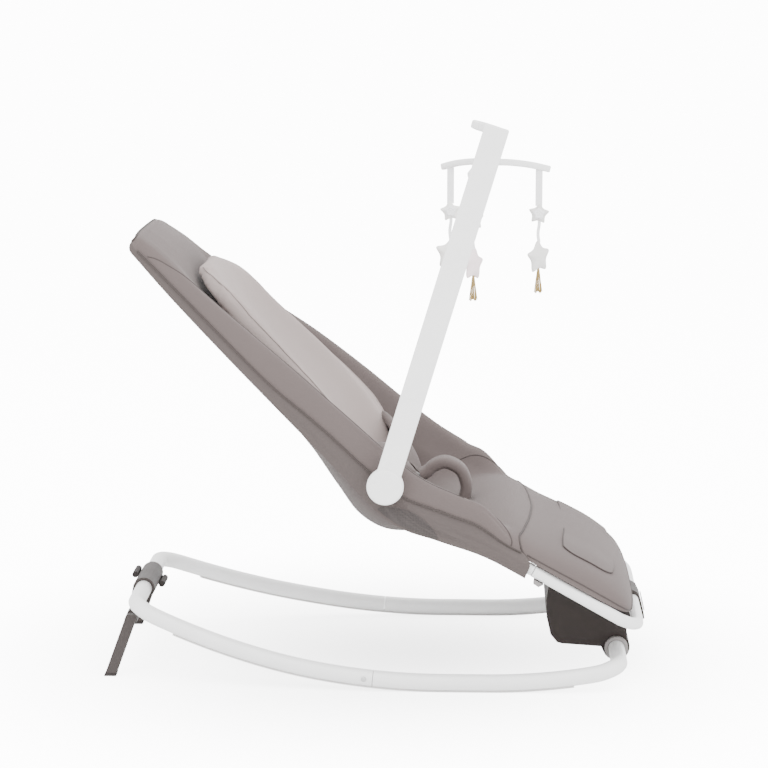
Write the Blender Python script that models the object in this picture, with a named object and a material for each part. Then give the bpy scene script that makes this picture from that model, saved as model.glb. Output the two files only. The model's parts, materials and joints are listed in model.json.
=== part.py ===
"""Bouncer seat: a rocking base with a rear stand, a tilting fabric seat, and a toy bar with a mobile.

Metres, +Z up. +X points to the foot end, the floor is Z = 0, and the origin is the bounding box's bottom
centre. The side with the toy bar is -Y, which is the child's right-hand side.
"""

import math

import bmesh
import bpy
from mathutils import Matrix, Vector

# Overall placing, so that the bounding box is centred on the origin. The helpers below all draw in the
# seat's own frame, where the middle plane is Y = 0.
MIDDLE_X = -0.0013
MIDDLE_Y = 0.0119
GAP = 0.0003
TUBE_JOIN_GAP = 0.0012

# Rocking base
RAIL_RADIUS = 0.0110
SKID_WIDTH = 0.0100
SKID_HEIGHT = 0.0014
TUBE_SIDES = 12
RAIL_LOW = RAIL_RADIUS * math.cos(math.pi / TUBE_SIDES) + GAP + SKID_HEIGHT
RAIL_HALF_SPACING = 0.2095
REAR_X = -0.322
FRONT_X = 0.325
FLAT_REAR_X = 0.090
FLAT_FRONT_X = 0.150
REAR_ROCK_RADIUS = 1.00
FRONT_ROCK_RADIUS = 0.80
REAR_HALF_SPACING = 0.163
CORNER_RADIUS = 0.040
JOIN_HALF_SPACING = 0.2075

# Stand
STAND_OFFSET = 0.0250
STAND_LEAN = math.radians(19.5)
LEG_THICK = 0.0145
LEG_TOP_Y = 0.124
LEG_FOOT_Y = 0.143
COLLAR_HALF_WIDTH = 0.050
FOOT_PAD = 0.0040

# Seat frame
SEAT_TUBE_RADIUS = 0.0080

# Tilt housing
HOUSING_HALF_WIDTH = 0.090
HOUSING_WALL = 0.0030
COLLAR_RADIUS = 0.0185

# Toy bar
ARM_WIDTH = 0.0320
ARM_THICK = 0.0110
ARM_LEAN = math.radians(17.0)
ARM_LENGTH = 0.4800
DISC_RADIUS = 0.0240
ARM_Y = -0.2345

# Mobile
SPINNER_RADIUS = 0.0870
SPINNER_ANGLES = (15.0, 135.0, 255.0)
TOY_FACING = {"a": 48.0, "b": -20.0, "c": 58.0}


def rail_height(x):
    """Height of the base tube's centre line: flat in the middle, and an arc towards each end."""
    if x < FLAT_REAR_X:
        return RAIL_LOW + (x - FLAT_REAR_X) ** 2 / (2 * REAR_ROCK_RADIUS)
    if x > FLAT_FRONT_X:
        return RAIL_LOW + (x - FLAT_FRONT_X) ** 2 / (2 * FRONT_ROCK_RADIUS)
    return RAIL_LOW


REAR_BAR = Vector((REAR_X, 0.0, rail_height(REAR_X)))
FRONT_BAR = Vector((FRONT_X, 0.0, rail_height(FRONT_X)))
TOY_HINGE = Vector((0.017, ARM_Y, 0.279))
ARM_UP = Vector((math.sin(ARM_LEAN), 0.0, math.cos(ARM_LEAN)))
ARM_FORWARD = Vector((math.cos(ARM_LEAN), 0.0, -math.sin(ARM_LEAN)))
ARM_TOP = TOY_HINGE + ARM_UP * ARM_LENGTH
HUB = Vector((ARM_TOP.x - 0.0098, 0.0, ARM_TOP.z - 0.0120))
SPINNER_Z = 0.6806
STRAP_RADIUS = 0.0722
PAWL_PIVOT = Vector((0.2860, 0.0, 0.0620))

X_AXIS = Vector((1.0, 0.0, 0.0))
Y_AXIS = Vector((0.0, 1.0, 0.0))
Z_AXIS = Vector((0.0, 0.0, 1.0))


# ---------------------------------------------------------------- scene, materials and helpers

def clear_scene():
    for thing in list(bpy.data.objects):
        bpy.data.objects.remove(thing, do_unlink=True)


def material(name, colour, roughness, metallic=0.0):
    made = bpy.data.materials.get(name)
    if made:
        return made
    made = bpy.data.materials.new(name)
    made.use_nodes = True
    shader = made.node_tree.nodes["Principled BSDF"]
    shader.inputs["Base Color"].default_value = (*colour, 1.0)
    shader.inputs["Roughness"].default_value = roughness
    shader.inputs["Metallic"].default_value = metallic
    return made


def white_paint():
    return material("white_paint", (0.86, 0.86, 0.85), 0.35)


def white_plastic():
    return material("white_plastic", (0.90, 0.90, 0.89), 0.30)


def taupe_plastic():
    return material("taupe_plastic", (0.13, 0.105, 0.10), 0.50)


def grey_plastic():
    return material("grey_plastic", (0.24, 0.22, 0.21), 0.50)


def taupe_fabric():
    return material("taupe_fabric", (0.30, 0.25, 0.23), 0.90)


def light_fabric():
    return material("light_fabric", (0.45, 0.39, 0.37), 0.90)


def steel():
    return material("steel", (0.60, 0.60, 0.60), 0.30, 1.0)


def rubber():
    return material("rubber", (0.10, 0.09, 0.09), 0.80)


def toy_cloth():
    return material("toy_cloth", (0.80, 0.77, 0.74), 0.90)


def pivot(name, place, parent=None):
    """An empty on a joint's axis. `place` is in the seat's middle-plane frame."""
    empty = bpy.data.objects.new(name, None)
    bpy.context.scene.collection.objects.link(empty)
    empty["place"] = tuple(place)
    above = Vector(parent["place"]) if parent else Vector((0.0, 0.0, 0.0))
    empty.location = place - above
    empty.parent = parent
    return empty


def add(name, bm, parent, finish, smooth=True):
    """Turns a bmesh, drawn in the seat's middle-plane frame, into an object under its pivot."""
    place = Vector(parent["place"])
    bmesh.ops.recalc_face_normals(bm, faces=bm.faces)
    bmesh.ops.translate(bm, verts=bm.verts, vec=-place)
    mesh = bpy.data.meshes.new(name)
    bm.to_mesh(mesh)
    bm.free()
    if smooth:
        mesh.shade_smooth()
        mesh.set_sharp_from_angle(angle=math.radians(35))
    mesh.materials.append(finish)
    made = bpy.data.objects.new(name, mesh)
    bpy.context.scene.collection.objects.link(made)
    made.parent = parent
    return made


def loft(rings):
    """A closed body through rings of equal length, with flat end faces."""
    bm = bmesh.new()
    rows = [[bm.verts.new(point) for point in ring] for ring in rings]
    count = len(rows[0])
    for low, high in zip(rows, rows[1:]):
        for i in range(count):
            j = (i + 1) % count
            bm.faces.new((low[i], low[j], high[j], high[i]))
    bm.faces.new(rows[0])
    bm.faces.new(list(reversed(rows[-1])))
    return bm


def smooth_path(points, step):
    """Points about `step` apart on a Catmull-Rom curve through the given ones."""
    points = [Vector(p) for p in points]
    ends = [2 * points[0] - points[1]] + points + [2 * points[-1] - points[-2]]
    path = []
    for a, b, c, d in zip(ends, ends[1:], ends[2:], ends[3:]):
        count = max(1, round((c - b).length / step))
        for i in range(count):
            t = i / count
            path.append(0.5 * ((2 * b) + (c - a) * t + (2 * a - 5 * b + 4 * c - d) * t ** 2
                               + (3 * b - a - 3 * c + d) * t ** 3))
    path.append(points[-1])
    return path


def sweep(path, outline, up=None):
    """Rings of a fixed outline (side, up) along a path. With `up` given, the outline stays level to it."""
    rings = []
    normal = None
    for i, point in enumerate(path):
        tangent = (path[min(i + 1, len(path) - 1)] - path[max(i - 1, 0)]).normalized()
        if up is not None:
            side = tangent.cross(up).normalized()
        elif normal is None:
            guess = Z_AXIS if abs(tangent.z) < 0.9 else X_AXIS
            side = tangent.cross(guess).normalized()
        else:
            side = (normal - tangent * normal.dot(tangent)).normalized()
        normal = side
        rise = side.cross(tangent)
        rings.append([point + side * a + rise * b for a, b in outline])
    return rings


def circle(radius, sides=TUBE_SIDES):
    """Outline points with a flat facet at the bottom and top."""
    turns = [2 * math.pi * (i + 0.5) / sides for i in range(sides)]
    return [(radius * math.sin(t), radius * math.cos(t)) for t in turns]


def tube(path, radius, sides=TUBE_SIDES, up=None):
    return loft(sweep(path, circle(radius, sides), up))


def box_outline(width, height):
    across, rise = width / 2, height / 2
    return [(-across, -rise), (across, -rise), (across, rise), (-across, rise)]


def prism(outline, y_from, y_to):
    """An (x, z) outline extruded along Y."""
    return loft([[Vector((x, y, z)) for x, z in outline] for y in (y_from, y_to)])


def cylinder(centre, axis, radius, length, sides=12):
    half = axis.normalized() * (length / 2)
    return tube([centre - half, centre + half], radius, sides)


def turned(centre, axis, profile, sides=16):
    """Turns a closed profile of (distance along axis, radius > 0) round the axis: a ring-shaped body."""
    axis = axis.normalized()
    side = axis.orthogonal().normalized()
    bm = bmesh.new()
    rows = []
    for i in range(sides):
        out = Matrix.Rotation(2 * math.pi * i / sides, 3, axis) @ side
        rows.append([bm.verts.new(centre + axis * a + out * r) for a, r in profile])
    count = len(profile)
    for i in range(sides):
        row, following = rows[i], rows[(i + 1) % sides]
        for k in range(count):
            m = (k + 1) % count
            bm.faces.new((row[k], row[m], following[m], following[k]))
    return bm


def arc(centre, radius, start, end, count):
    """Points (x, z) on an arc, angles in degrees from +X towards +Z."""
    turns = [math.radians(start + (end - start) * i / (count - 1)) for i in range(count)]
    return [(centre[0] + radius * math.cos(t), centre[1] + radius * math.sin(t)) for t in turns]


def cut(body, cutter_bm, name):
    """Cuts a shape out of an object with a Boolean that stays on it."""
    cutter = add(name, cutter_bm, body.parent, steel(), smooth=False)
    cutter.hide_render = True
    cutter.display_type = "WIRE"
    modifier = body.modifiers.new(name, "BOOLEAN")
    modifier.operation = "DIFFERENCE"
    modifier.object = cutter


# ---------------------------------------------------------------- rocking base

def half_base(side):
    """Centre line of one side of the base, from the rear crossbar's middle to the front one's."""
    rear_y, full = REAR_HALF_SPACING, RAIL_HALF_SPACING
    r = CORNER_RADIUS
    rear = [(REAR_X, 0.0), (REAR_X, rear_y - r - 0.015)]
    rear += [(REAR_X + r - r * math.cos(t), rear_y - r + r * math.sin(t)) for t in (0.2, 0.6, 1.0, 1.3)]
    middle = [(-0.245, 0.174), (-0.180, 0.188), (-0.100, 0.201), (0.0, JOIN_HALF_SPACING)]
    front = [(FLAT_REAR_X, full), (FLAT_FRONT_X, full), (0.23, full), (FRONT_X - r - 0.01, full)]
    front += [(FRONT_X - r + r * math.sin(t), full - r + r * math.cos(t)) for t in (0.25, 0.6, 1.0, 1.35)]
    front += [(FRONT_X, full - r - 0.012), (FRONT_X, 0.0)]
    line = smooth_path([(x, side * y, 0.0) for x, y in rear + middle + front], 0.030)
    return [Vector((p.x, p.y, rail_height(p.x))) for p in line]


def frame_path(side, x_from, x_to):
    """The base's centre line on one side between two X planes, dense enough to look smooth."""
    line = half_base(side)
    kept = []
    for a, b in zip(line, line[1:]):
        for x in (x_from, x_to):
            if (a.x - x) * (b.x - x) < 0:
                kept.append(a.lerp(b, (x - a.x) / (b.x - a.x)))
        if x_from <= b.x <= x_to:
            kept.append(b)
    kept.sort(key=lambda p: p.x)
    return kept


def u_tube(rear):
    """One of the two U tubes that meet at X = 0."""
    sides = []
    for side in (-1, 1):
        line = half_base(side)
        if rear:
            part = [p for p in line if p.x < -0.006]
            end = -TUBE_JOIN_GAP / 2
        else:
            part = [p for p in reversed(line) if p.x > 0.006]
            end = TUBE_JOIN_GAP / 2
        part.append(Vector((end, side * JOIN_HALF_SPACING, rail_height(end))))
        sides.append(part)
    path = list(reversed(sides[0])) + sides[1][1:]
    return tube(path, RAIL_RADIUS, up=Z_AXIS)


def base(root):
    add("rear_rocker_tube", u_tube(True), root, white_paint())
    add("front_rocker_tube", u_tube(False), root, white_paint())
    drop = RAIL_RADIUS * math.cos(math.pi / TUBE_SIDES) + GAP + SKID_HEIGHT / 2
    strip = [(a, b - drop) for a, b in box_outline(SKID_WIDTH, SKID_HEIGHT)]
    for side, name in ((-1, "right"), (1, "left")):
        path = frame_path(side, -0.272, 0.268)
        add(f"skid_strip_{name}", loft(sweep(path, strip, Z_AXIS)), root, rubber())
        centre = Vector((-0.012, side * (JOIN_HALF_SPACING + RAIL_RADIUS + 0.0005), rail_height(-0.012)))
        add(f"snap_button_{name}", cylinder(centre, Y_AXIS, 0.0035, 0.0018, 8), root, steel())
    teeth = []
    for i in range(14):
        turn = 2 * math.pi * i / 14
        teeth += [(FRONT_BAR.x + r * math.cos(turn + s), FRONT_BAR.z + r * math.sin(turn + s))
                  for r, s in ((0.0148, 0.0), (0.0168, 0.08), (0.0168, 0.24), (0.0148, 0.32))]
    bore = [(FRONT_BAR.x + 0.0114 * math.cos(2 * math.pi * i / 56 + 0.05),
             FRONT_BAR.z + 0.0114 * math.sin(2 * math.pi * i / 56 + 0.05)) for i in range(56)]
    add("ratchet_ring", ring_prism(teeth, bore, -0.006, 0.006), root, steel(), smooth=False)


def ring_prism(outer, inner, y_from, y_to):
    """A plate with one hole, from two outlines of the same number of (x, z) points."""
    bm = bmesh.new()
    rows = []
    for outline, y in ((outer, y_from), (outer, y_to), (inner, y_to), (inner, y_from)):
        rows.append([bm.verts.new((x, y, z)) for x, z in outline])
    count = len(outer)
    for k in range(4):
        row, following = rows[k], rows[(k + 1) % 4]
        for i in range(count):
            j = (i + 1) % count
            bm.faces.new((row[i], row[j], following[j], following[i]))
    return bm


# ---------------------------------------------------------------- stand

def stand(root):
    body = pivot("stand_pivot", REAR_BAR, root)
    down = Vector((-math.sin(STAND_LEAN), 0.0, -math.cos(STAND_LEAN)))
    across = Vector((math.cos(STAND_LEAN), 0.0, -math.sin(STAND_LEAN)))
    bridge = REAR_BAR + down * STAND_OFFSET

    def local(points):
        return [((REAR_BAR + across * a + down * b).x, (REAR_BAR + across * a + down * b).z) for a, b in points]

    inner, outer = RAIL_RADIUS + 0.0006, RAIL_RADIUS + 0.0042
    half = [math.radians(d) for d in range(0, 181, 20)]
    upper = [(outer * math.cos(t), -outer * math.sin(t)) for t in half]
    upper += [(-inner * math.cos(t), -inner * math.sin(t)) for t in half]
    lift = [(a, b - 0.0004) for a, b in upper]
    add("stand_collar_upper", prism(local(lift), -COLLAR_HALF_WIDTH, COLLAR_HALF_WIDTH), body, taupe_plastic())
    lower = [(-outer, 0.0)] + [(-inner * math.cos(t), inner * math.sin(t)) for t in half]
    lower += [(outer, 0.0), (0.0125, STAND_OFFSET - 0.0080), (-0.0125, STAND_OFFSET - 0.0080)]
    add("stand_collar_lower", prism(local(lower), -COLLAR_HALF_WIDTH, COLLAR_HALF_WIDTH), body, taupe_plastic())
    bar = local([(-0.0072, STAND_OFFSET - 0.0075), (0.0072, STAND_OFFSET - 0.0075),
                 (0.0085, STAND_OFFSET + 0.0065), (-0.0085, STAND_OFFSET + 0.0065)])
    reach = LEG_TOP_Y - LEG_THICK / 2 - GAP
    add("stand_bridge", prism(bar, -reach, reach), body, taupe_plastic())
    for side, name in ((-1, "right"), (1, "left")):
        knuckle = REAR_BAR + across * side * 0.0195 + Y_AXIS * 0.020 - down * 0.0015
        screw = cylinder(knuckle, Y_AXIS, 0.0045, 0.040, 10)
        add(f"stand_knuckle_{name}", screw, body, rubber())
        top_z = bridge.z + 0.0065
        foot_z = FOOT_PAD + GAP
        slope = math.tan(STAND_LEAN)
        rings = []
        for z, y in ((top_z, LEG_TOP_Y), (foot_z, LEG_FOOT_Y)):
            x = REAR_BAR.x - (REAR_BAR.z - z) * slope
            wide = LEG_THICK / 2 / math.cos(STAND_LEAN)
            rings.append([Vector((x + a, side * y + b, z)) for a, b in
                          ((-wide, -0.0072), (wide, -0.0072), (wide, 0.0072), (-wide, 0.0072))])
        add(f"stand_leg_{name}", loft(rings), body, taupe_plastic())
        rings = []
        for z, y in ((FOOT_PAD, LEG_FOOT_Y), (0.0, LEG_FOOT_Y)):
            x = REAR_BAR.x - (REAR_BAR.z - z) * slope
            rings.append([Vector((x + a, side * y + b, z)) for a, b in
                          ((-0.0082, -0.0078), (0.0082, -0.0078), (0.0082, 0.0078), (-0.0082, 0.0078))])
        add(f"stand_foot_{name}", loft(rings), body, rubber())
    return body


# ---------------------------------------------------------------- seat frame

# Side view (x, z) of the seat tube's centre line, head end first, with the half width of the frame there.
SEAT_LINE = (
    (-0.3060, 0.5680, 0.118),
    (-0.2620, 0.5240, 0.140),
    (-0.2000, 0.4630, 0.160),
    (-0.1300, 0.3950, 0.177),
    (-0.0620, 0.3310, 0.191),
    (-0.0050, 0.2790, 0.200),
    (0.0400, 0.2440, 0.204),
    (0.0900, 0.2200, 0.204),
    (0.1500, 0.1950, 0.204),
    (0.2100, 0.1620, 0.203),
    (0.3150, 0.1020, 0.200),
)
FOOT_BAR = Vector((0.3497, 0.0, 0.0822))
HEAD_BAR = Vector((-0.3120, 0.0, 0.5740))


def seat_line(side):
    return [Vector((x, side * y, z)) for x, z, y in SEAT_LINE]


def side_tube(side):
    points = seat_line(side)
    start = points[1] + (points[2] - points[1]).normalized() * TUBE_JOIN_GAP
    end = points[-2] - (points[-1] - points[-2]).normalized() * TUBE_JOIN_GAP
    return tube(smooth_path([start] + points[2:-2] + [end], 0.035), SEAT_TUBE_RADIUS, 10, Y_AXIS)


def head_bow():
    near, far = seat_line(-1), seat_line(1)
    path = [near[1], near[0].lerp(near[1], 0.35), Vector((-0.3080, -0.098, 0.5700)),
            HEAD_BAR + Y_AXIS * -0.060, HEAD_BAR + Y_AXIS * 0.060,
            Vector((-0.3080, 0.098, 0.5700)), far[0].lerp(far[1], 0.35), far[1]]
    return tube(smooth_path(path, 0.026), SEAT_TUBE_RADIUS, 10)


def foot_bow():
    near, far = seat_line(-1), seat_line(1)
    corner = [(0.30, 0.198), (0.65, 0.188), (0.90, 0.170), (1.00, 0.148)]
    end = Vector((FOOT_BAR.x, near[-1].y, FOOT_BAR.z))
    turn = [near[-1].lerp(end, a) for a, _ in corner]
    path = [near[-2], near[-1]] + [Vector((p.x, -y, p.z)) for p, (_, y) in zip(turn, corner)]
    path += [Vector((FOOT_BAR.x, -0.060, turn[-1].z)), Vector((FOOT_BAR.x, 0.060, turn[-1].z))]
    path += [Vector((p.x, y, p.z)) for p, (_, y) in reversed(list(zip(turn, corner)))] + [far[-1], far[-2]]
    return tube(smooth_path(path, 0.028), SEAT_TUBE_RADIUS, 10)


# ---------------------------------------------------------------- soft parts

# Cover sections: place along the seat line (index), crest height, middle height and how round the middle is.
COVER_SECTIONS = (
    (-0.32, 0.0160, 0.0190),
    (0.00, 0.0170, 0.0240),
    (0.35, 0.0190, 0.0270),
    (0.90, 0.0210, 0.0220),
    (1.50, 0.0240, 0.0080),
    (2.20, 0.0300, -0.0060),
    (3.00, 0.0370, -0.0180),
    (4.00, 0.042, -0.030),
    (4.80, 0.044, -0.046),
    (5.40, 0.045, -0.056),
    (6.00, 0.046, -0.052),
    (6.60, 0.046, -0.030),
    (7.20, 0.046, -0.004),
    (7.80, 0.045, 0.020),
    (8.40, 0.038, 0.038),
    (8.78, 0.030, 0.046),
)


def on_seat_line(place):
    """(point in the side view, half width, up direction) at a place along the seat line."""
    i = min(int(place), len(SEAT_LINE) - 2)
    t = place - i
    a, b = SEAT_LINE[i], SEAT_LINE[i + 1]
    before, after = SEAT_LINE[max(i - 1, 0)], SEAT_LINE[min(i + 2, len(SEAT_LINE) - 1)]
    slope_a = Vector((b[0] - before[0], b[1] - before[1])).normalized()
    slope_b = Vector((after[0] - a[0], after[1] - a[1])).normalized()
    slope = slope_a.lerp(slope_b, t).normalized()
    point = Vector((a[0] + (b[0] - a[0]) * t, 0.0, a[1] + (b[1] - a[1]) * t))
    return point, a[2] + (b[2] - a[2]) * t, Vector((-slope.y, 0.0, slope.x))


def cover_section(place, crest, middle):
    point, half, up = on_seat_line(place)
    wing = half - 0.020
    bed = middle if middle < 0 else middle * 0.9
    top = [(half + 0.0140, -0.0120), (half + 0.0150, 0.0080), (half + 0.0100, crest * 0.80),
           (half, crest), (half - 0.0120, crest * 0.86), (wing - 0.004, min(crest * 0.5, 0.020) + bed * 0.15),
           (wing - 0.022, bed * 0.62 + 0.004), (half * 0.48, middle * 0.93), (0.0, middle)]
    low = [(0.0, middle - 0.0090), (half * 0.48, middle * 0.93 - 0.0090),
           (wing - 0.0250, bed * 0.62 - 0.0070), (half - 0.0150, min(-0.0040, bed * 0.3)),
           (half - 0.0102, 0.0060), (half, 0.0110), (half + 0.0102, 0.0060), (half + 0.0108, -0.0120)]
    if place < 0.80:
        low = [(y, max(h, 0.0100)) for y, h in low[:-2]] + low[-2:]
    elif middle > 0.015:
        low[2] = (wing - 0.0250, max(bed * 0.62 - 0.0120, -0.004))
    right = [Vector((0.0, -y, 0.0)) + point + up * h for y, h in top]
    under = [Vector((0.0, -y, 0.0)) + point + up * h for y, h in low]
    left = [Vector((p.x, -p.y, p.z)) for p in right]
    left_under = [Vector((p.x, -p.y, p.z)) for p in under]
    return right + list(reversed(left))[1:] + list(reversed(left_under))[:-1] + under


def seat_cover():
    return loft([cover_section(*section) for section in COVER_SECTIONS])


def foot_cover():
    """A domed pillow on top of the foot end of the frame."""
    rings = []
    rows = ((8.84, 0.211, 0.047), (9.20, 0.211, 0.050), (9.50, 0.209, 0.052), (9.80, 0.205, 0.050),
            (10.00, 0.198, 0.044), (10.12, 0.184, 0.034), (10.19, 0.162, 0.023))
    for place, half, crown in rows:
        point, _, up = on_seat_line(place)
        low = SEAT_TUBE_RADIUS + 0.0012
        ring = []
        for i in range(13):
            turn = math.pi * i / 12
            y = -half * math.copysign(abs(math.cos(turn)) ** 0.75, math.cos(turn))
            h = low + 0.0015 + (crown - low) * math.sin(turn) ** 0.62
            ring.append(point + Y_AXIS * y + up * h)
        ring += [point + Y_AXIS * y + up * low for y in (half * 0.97, 0.0, -half * 0.97)]
        rings.append(ring)
    return loft(rings)


def slab_on_seat(rows, thick):
    """A pad that follows the seat line. Rows are (place, half width, edge height, middle height)."""
    rings = []
    for place, half, edge, middle in rows:
        point, _, up = on_seat_line(place)
        across = [(-half, edge), (-half * 0.6, edge * 0.4 + middle * 0.6), (0.0, middle),
                  (half * 0.6, edge * 0.4 + middle * 0.6), (half, edge)]
        top = [point + Y_AXIS * y + up * h for y, h in across]
        low = [point + Y_AXIS * (y * 0.97) + up * (h - thick) for y, h in reversed(across)]
        rings.append(top + low)
    return loft(rings)


def soft_parts(seat):
    add("seat_cover", seat_cover(), seat, taupe_fabric())
    add("foot_cover", foot_cover(), seat, taupe_fabric())
    insert = ((1.00, 0.062, 0.048, 0.050), (1.20, 0.104, 0.048, 0.044), (1.60, 0.118, 0.047, 0.034),
              (2.10, 0.123, 0.044, 0.024), (2.80, 0.128, 0.040, 0.012), (3.60, 0.134, 0.034, 0.002),
              (4.40, 0.130, 0.022, -0.013), (4.95, 0.112, 0.006, -0.025), (5.60, 0.095, -0.010, -0.036),
              (6.15, 0.076, -0.021, -0.033), (6.55, 0.050, -0.014, -0.018))
    add("newborn_insert", slab_on_seat(insert, 0.012), seat, light_fabric())
    patch = ((9.16, 0.088, 0.0530, 0.0545), (9.45, 0.090, 0.0545, 0.0560), (9.72, 0.088, 0.0535, 0.0550))
    add("foot_patch", slab_on_seat(patch, 0.0015), seat, taupe_fabric())
    strap = [(0.1185, 0.0, 0.2200), (0.1205, 0.0, 0.2370), (0.112, 0.0, 0.2580), (0.092, 0.0, 0.2680),
             (0.076, 0.0, 0.2630), (0.0675, 0.0, 0.2555)]
    add("crotch_strap", ribbon(strap, 0.0320, 0.0085), seat, taupe_fabric())
    add("harness_buckle", prism([(0.040, 0.244), (0.056, 0.2405), (0.0610, 0.2455), (0.045, 0.254)],
                                -0.020, 0.020), seat, grey_plastic(), smooth=False)
    for side, name in ((-1, "right"), (1, "left")):
        belt = [Vector((0.046, side * 0.0228, 0.2505)), Vector((0.036, side * 0.060, 0.2740)),
                Vector((0.020, side * 0.110, 0.2900)), Vector((0.004, side * 0.148, 0.2920)),
                Vector((-0.004, side * 0.1660, 0.2880))]
        add(f"waist_belt_{name}", belt_strap(belt, 0.0280, 0.0080), seat, taupe_fabric())


def ribbon(points, width, thick):
    """A flat strap whose width runs along Y and whose path lies in the side view."""
    rings = []
    path = smooth_path(points, 0.012)
    for i, point in enumerate(path):
        tangent = (path[min(i + 1, len(path) - 1)] - path[max(i - 1, 0)]).normalized()
        out = tangent.cross(Y_AXIS).normalized()
        rings.append([point + Y_AXIS * a + out * b for a, b in box_outline(width, thick)])
    return loft(rings)


def belt_strap(points, width, thick):
    """A padded belt that crosses the seat: its width lies along the seat's length."""
    rings = []
    path = smooth_path(points, 0.025)
    along = Vector((0.62, 0.0, -0.78)).normalized()
    for i, point in enumerate(path):
        tangent = (path[min(i + 1, len(path) - 1)] - path[max(i - 1, 0)]).normalized()
        wide = (along - tangent * along.dot(tangent)).normalized()
        out = tangent.cross(wide)
        rings.append([point + wide * a + out * b for a, b in box_outline(width, thick)])
    return loft(rings)


# ---------------------------------------------------------------- tilt housing

def housing(seat):
    bar = (FRONT_BAR.x, FRONT_BAR.z)
    outline = [(0.2350, 0.1290), (0.2300, 0.0950), (0.2305, 0.0720), (0.2360, 0.0480), (0.2450, 0.0370),
               (0.2520, 0.0352), (0.3045, 0.0318)]
    outline += arc(bar, COLLAR_RADIUS, 200, 250, 4)
    outline += arc(bar, 0.0118, 245, -65, 12)
    outline += arc(bar, COLLAR_RADIUS, -60, 40, 7)
    outline += [(0.3390, 0.0620), (0.3340, 0.0765), (0.2450, 0.1290)]
    shell = add("tilt_housing", prism(outline, -HOUSING_HALF_WIDTH, HOUSING_HALF_WIDTH), seat, taupe_plastic(),
                smooth=False)
    wall = HOUSING_WALL
    inside = [(0.2385, 0.1230), (0.2335, 0.0940), (0.2340, 0.0730), (0.2395, 0.0500), (0.2470, 0.0300),
              (0.2980, 0.0260), (0.2980, 0.0600), (0.3180, 0.0640), (0.3300, 0.0620), (0.3310, 0.0745),
              (0.2440, 0.1250)]
    cut(shell, prism(inside, -HOUSING_HALF_WIDTH + wall, HOUSING_HALF_WIDTH - wall), "housing_hollow_cutter")
    slot = [(0.2900, 0.0200), (0.3500, 0.0100), (0.3500, 0.0600), (0.2900, 0.0680)]
    cut(shell, prism(slot, -0.0080, 0.0080), "ratchet_slot_cutter")
    cover = [(0.2478, 0.0375), (0.2478, 0.0400), (0.2970, 0.0370), (0.2970, 0.0345)]
    reach = HOUSING_HALF_WIDTH - wall - GAP
    add("housing_bottom_cover", prism(cover, -reach, reach), seat, taupe_plastic(), smooth=False)
    for side, name in ((-1, "right"), (1, "left")):
        place = Vector((0.2720, side * 0.070, 0.0345))
        add(f"housing_screw_{name}", cylinder(place, Z_AXIS, 0.0032, 0.0016, 8), seat, steel())
        add(f"hinge_bush_{name}", bush_ring(FRONT_BAR + Y_AXIS * side * 0.0960), seat, grey_plastic())
    coil = []
    for i in range(8 * 5 + 1):
        turn = 2 * math.pi * i / 8
        round_axis = Vector((0.0, math.cos(turn), math.sin(turn))) * 0.0035
        coil.append(Vector((0.2600 + 0.00035 * i, 0.0, 0.0620)) + round_axis)
    add("pawl_spring", tube(coil, 0.0005, 5), seat, steel())


def bush_ring(centre):
    profile = [(-0.0040, 0.0116), (-0.0040, 0.0160), (0.0040, 0.0160), (0.0040, 0.0116)]
    return turned(centre, Y_AXIS, profile, 20)


def release(seat):
    """The lever that turns on the foot bar, the saddle under the bar, and the pawl."""
    bar = (FOOT_BAR.x, FOOT_BAR.z)
    lever = pivot("release_lever_pivot", FOOT_BAR, seat)
    shape = [(0.3600, 0.0680), (0.3640, 0.0555), (0.3665, 0.0560), (0.3655, 0.0640), (0.3610, 0.0830),
             (0.3560, 0.0930), (0.3470, 0.0975), (0.3440, 0.0935)]
    shape += arc(bar, SEAT_TUBE_RADIUS + 0.0008, 130, -40, 9)
    add("release_lever", prism(shape, -0.0300, 0.0300), lever, grey_plastic(), smooth=False)
    pad = [(0.3617, 0.0834), (0.3630, 0.0840), (0.3672, 0.0650), (0.3659, 0.0644)]
    add("release_lever_pad", prism(pad, -0.0180, 0.0180), lever, white_plastic(), smooth=False)
    saddle = [(0.3396, 0.0625), (0.3470, 0.0630), (0.3545, 0.0720)]
    saddle += arc(bar, SEAT_TUBE_RADIUS + 0.0004, -55, -170, 7) + [(0.3348, 0.0768)]
    add("foot_bar_saddle", prism(saddle, -0.0700, 0.0700), seat, taupe_plastic(), smooth=False)
    arm = pivot("pawl_pivot", PAWL_PIVOT, seat)
    x, z = PAWL_PIVOT.x, PAWL_PIVOT.z
    shape = [(x - 0.0060, z + 0.0040), (x - 0.0070, z - 0.0040), (x + 0.0060, z - 0.0060),
             (x + 0.0270, z - 0.0160),
             (x + 0.0300, z - 0.0130), (x + 0.0060, z + 0.0040)]
    add("ratchet_pawl", prism(shape, -0.0055, 0.0055), arm, steel(), smooth=False)


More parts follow.
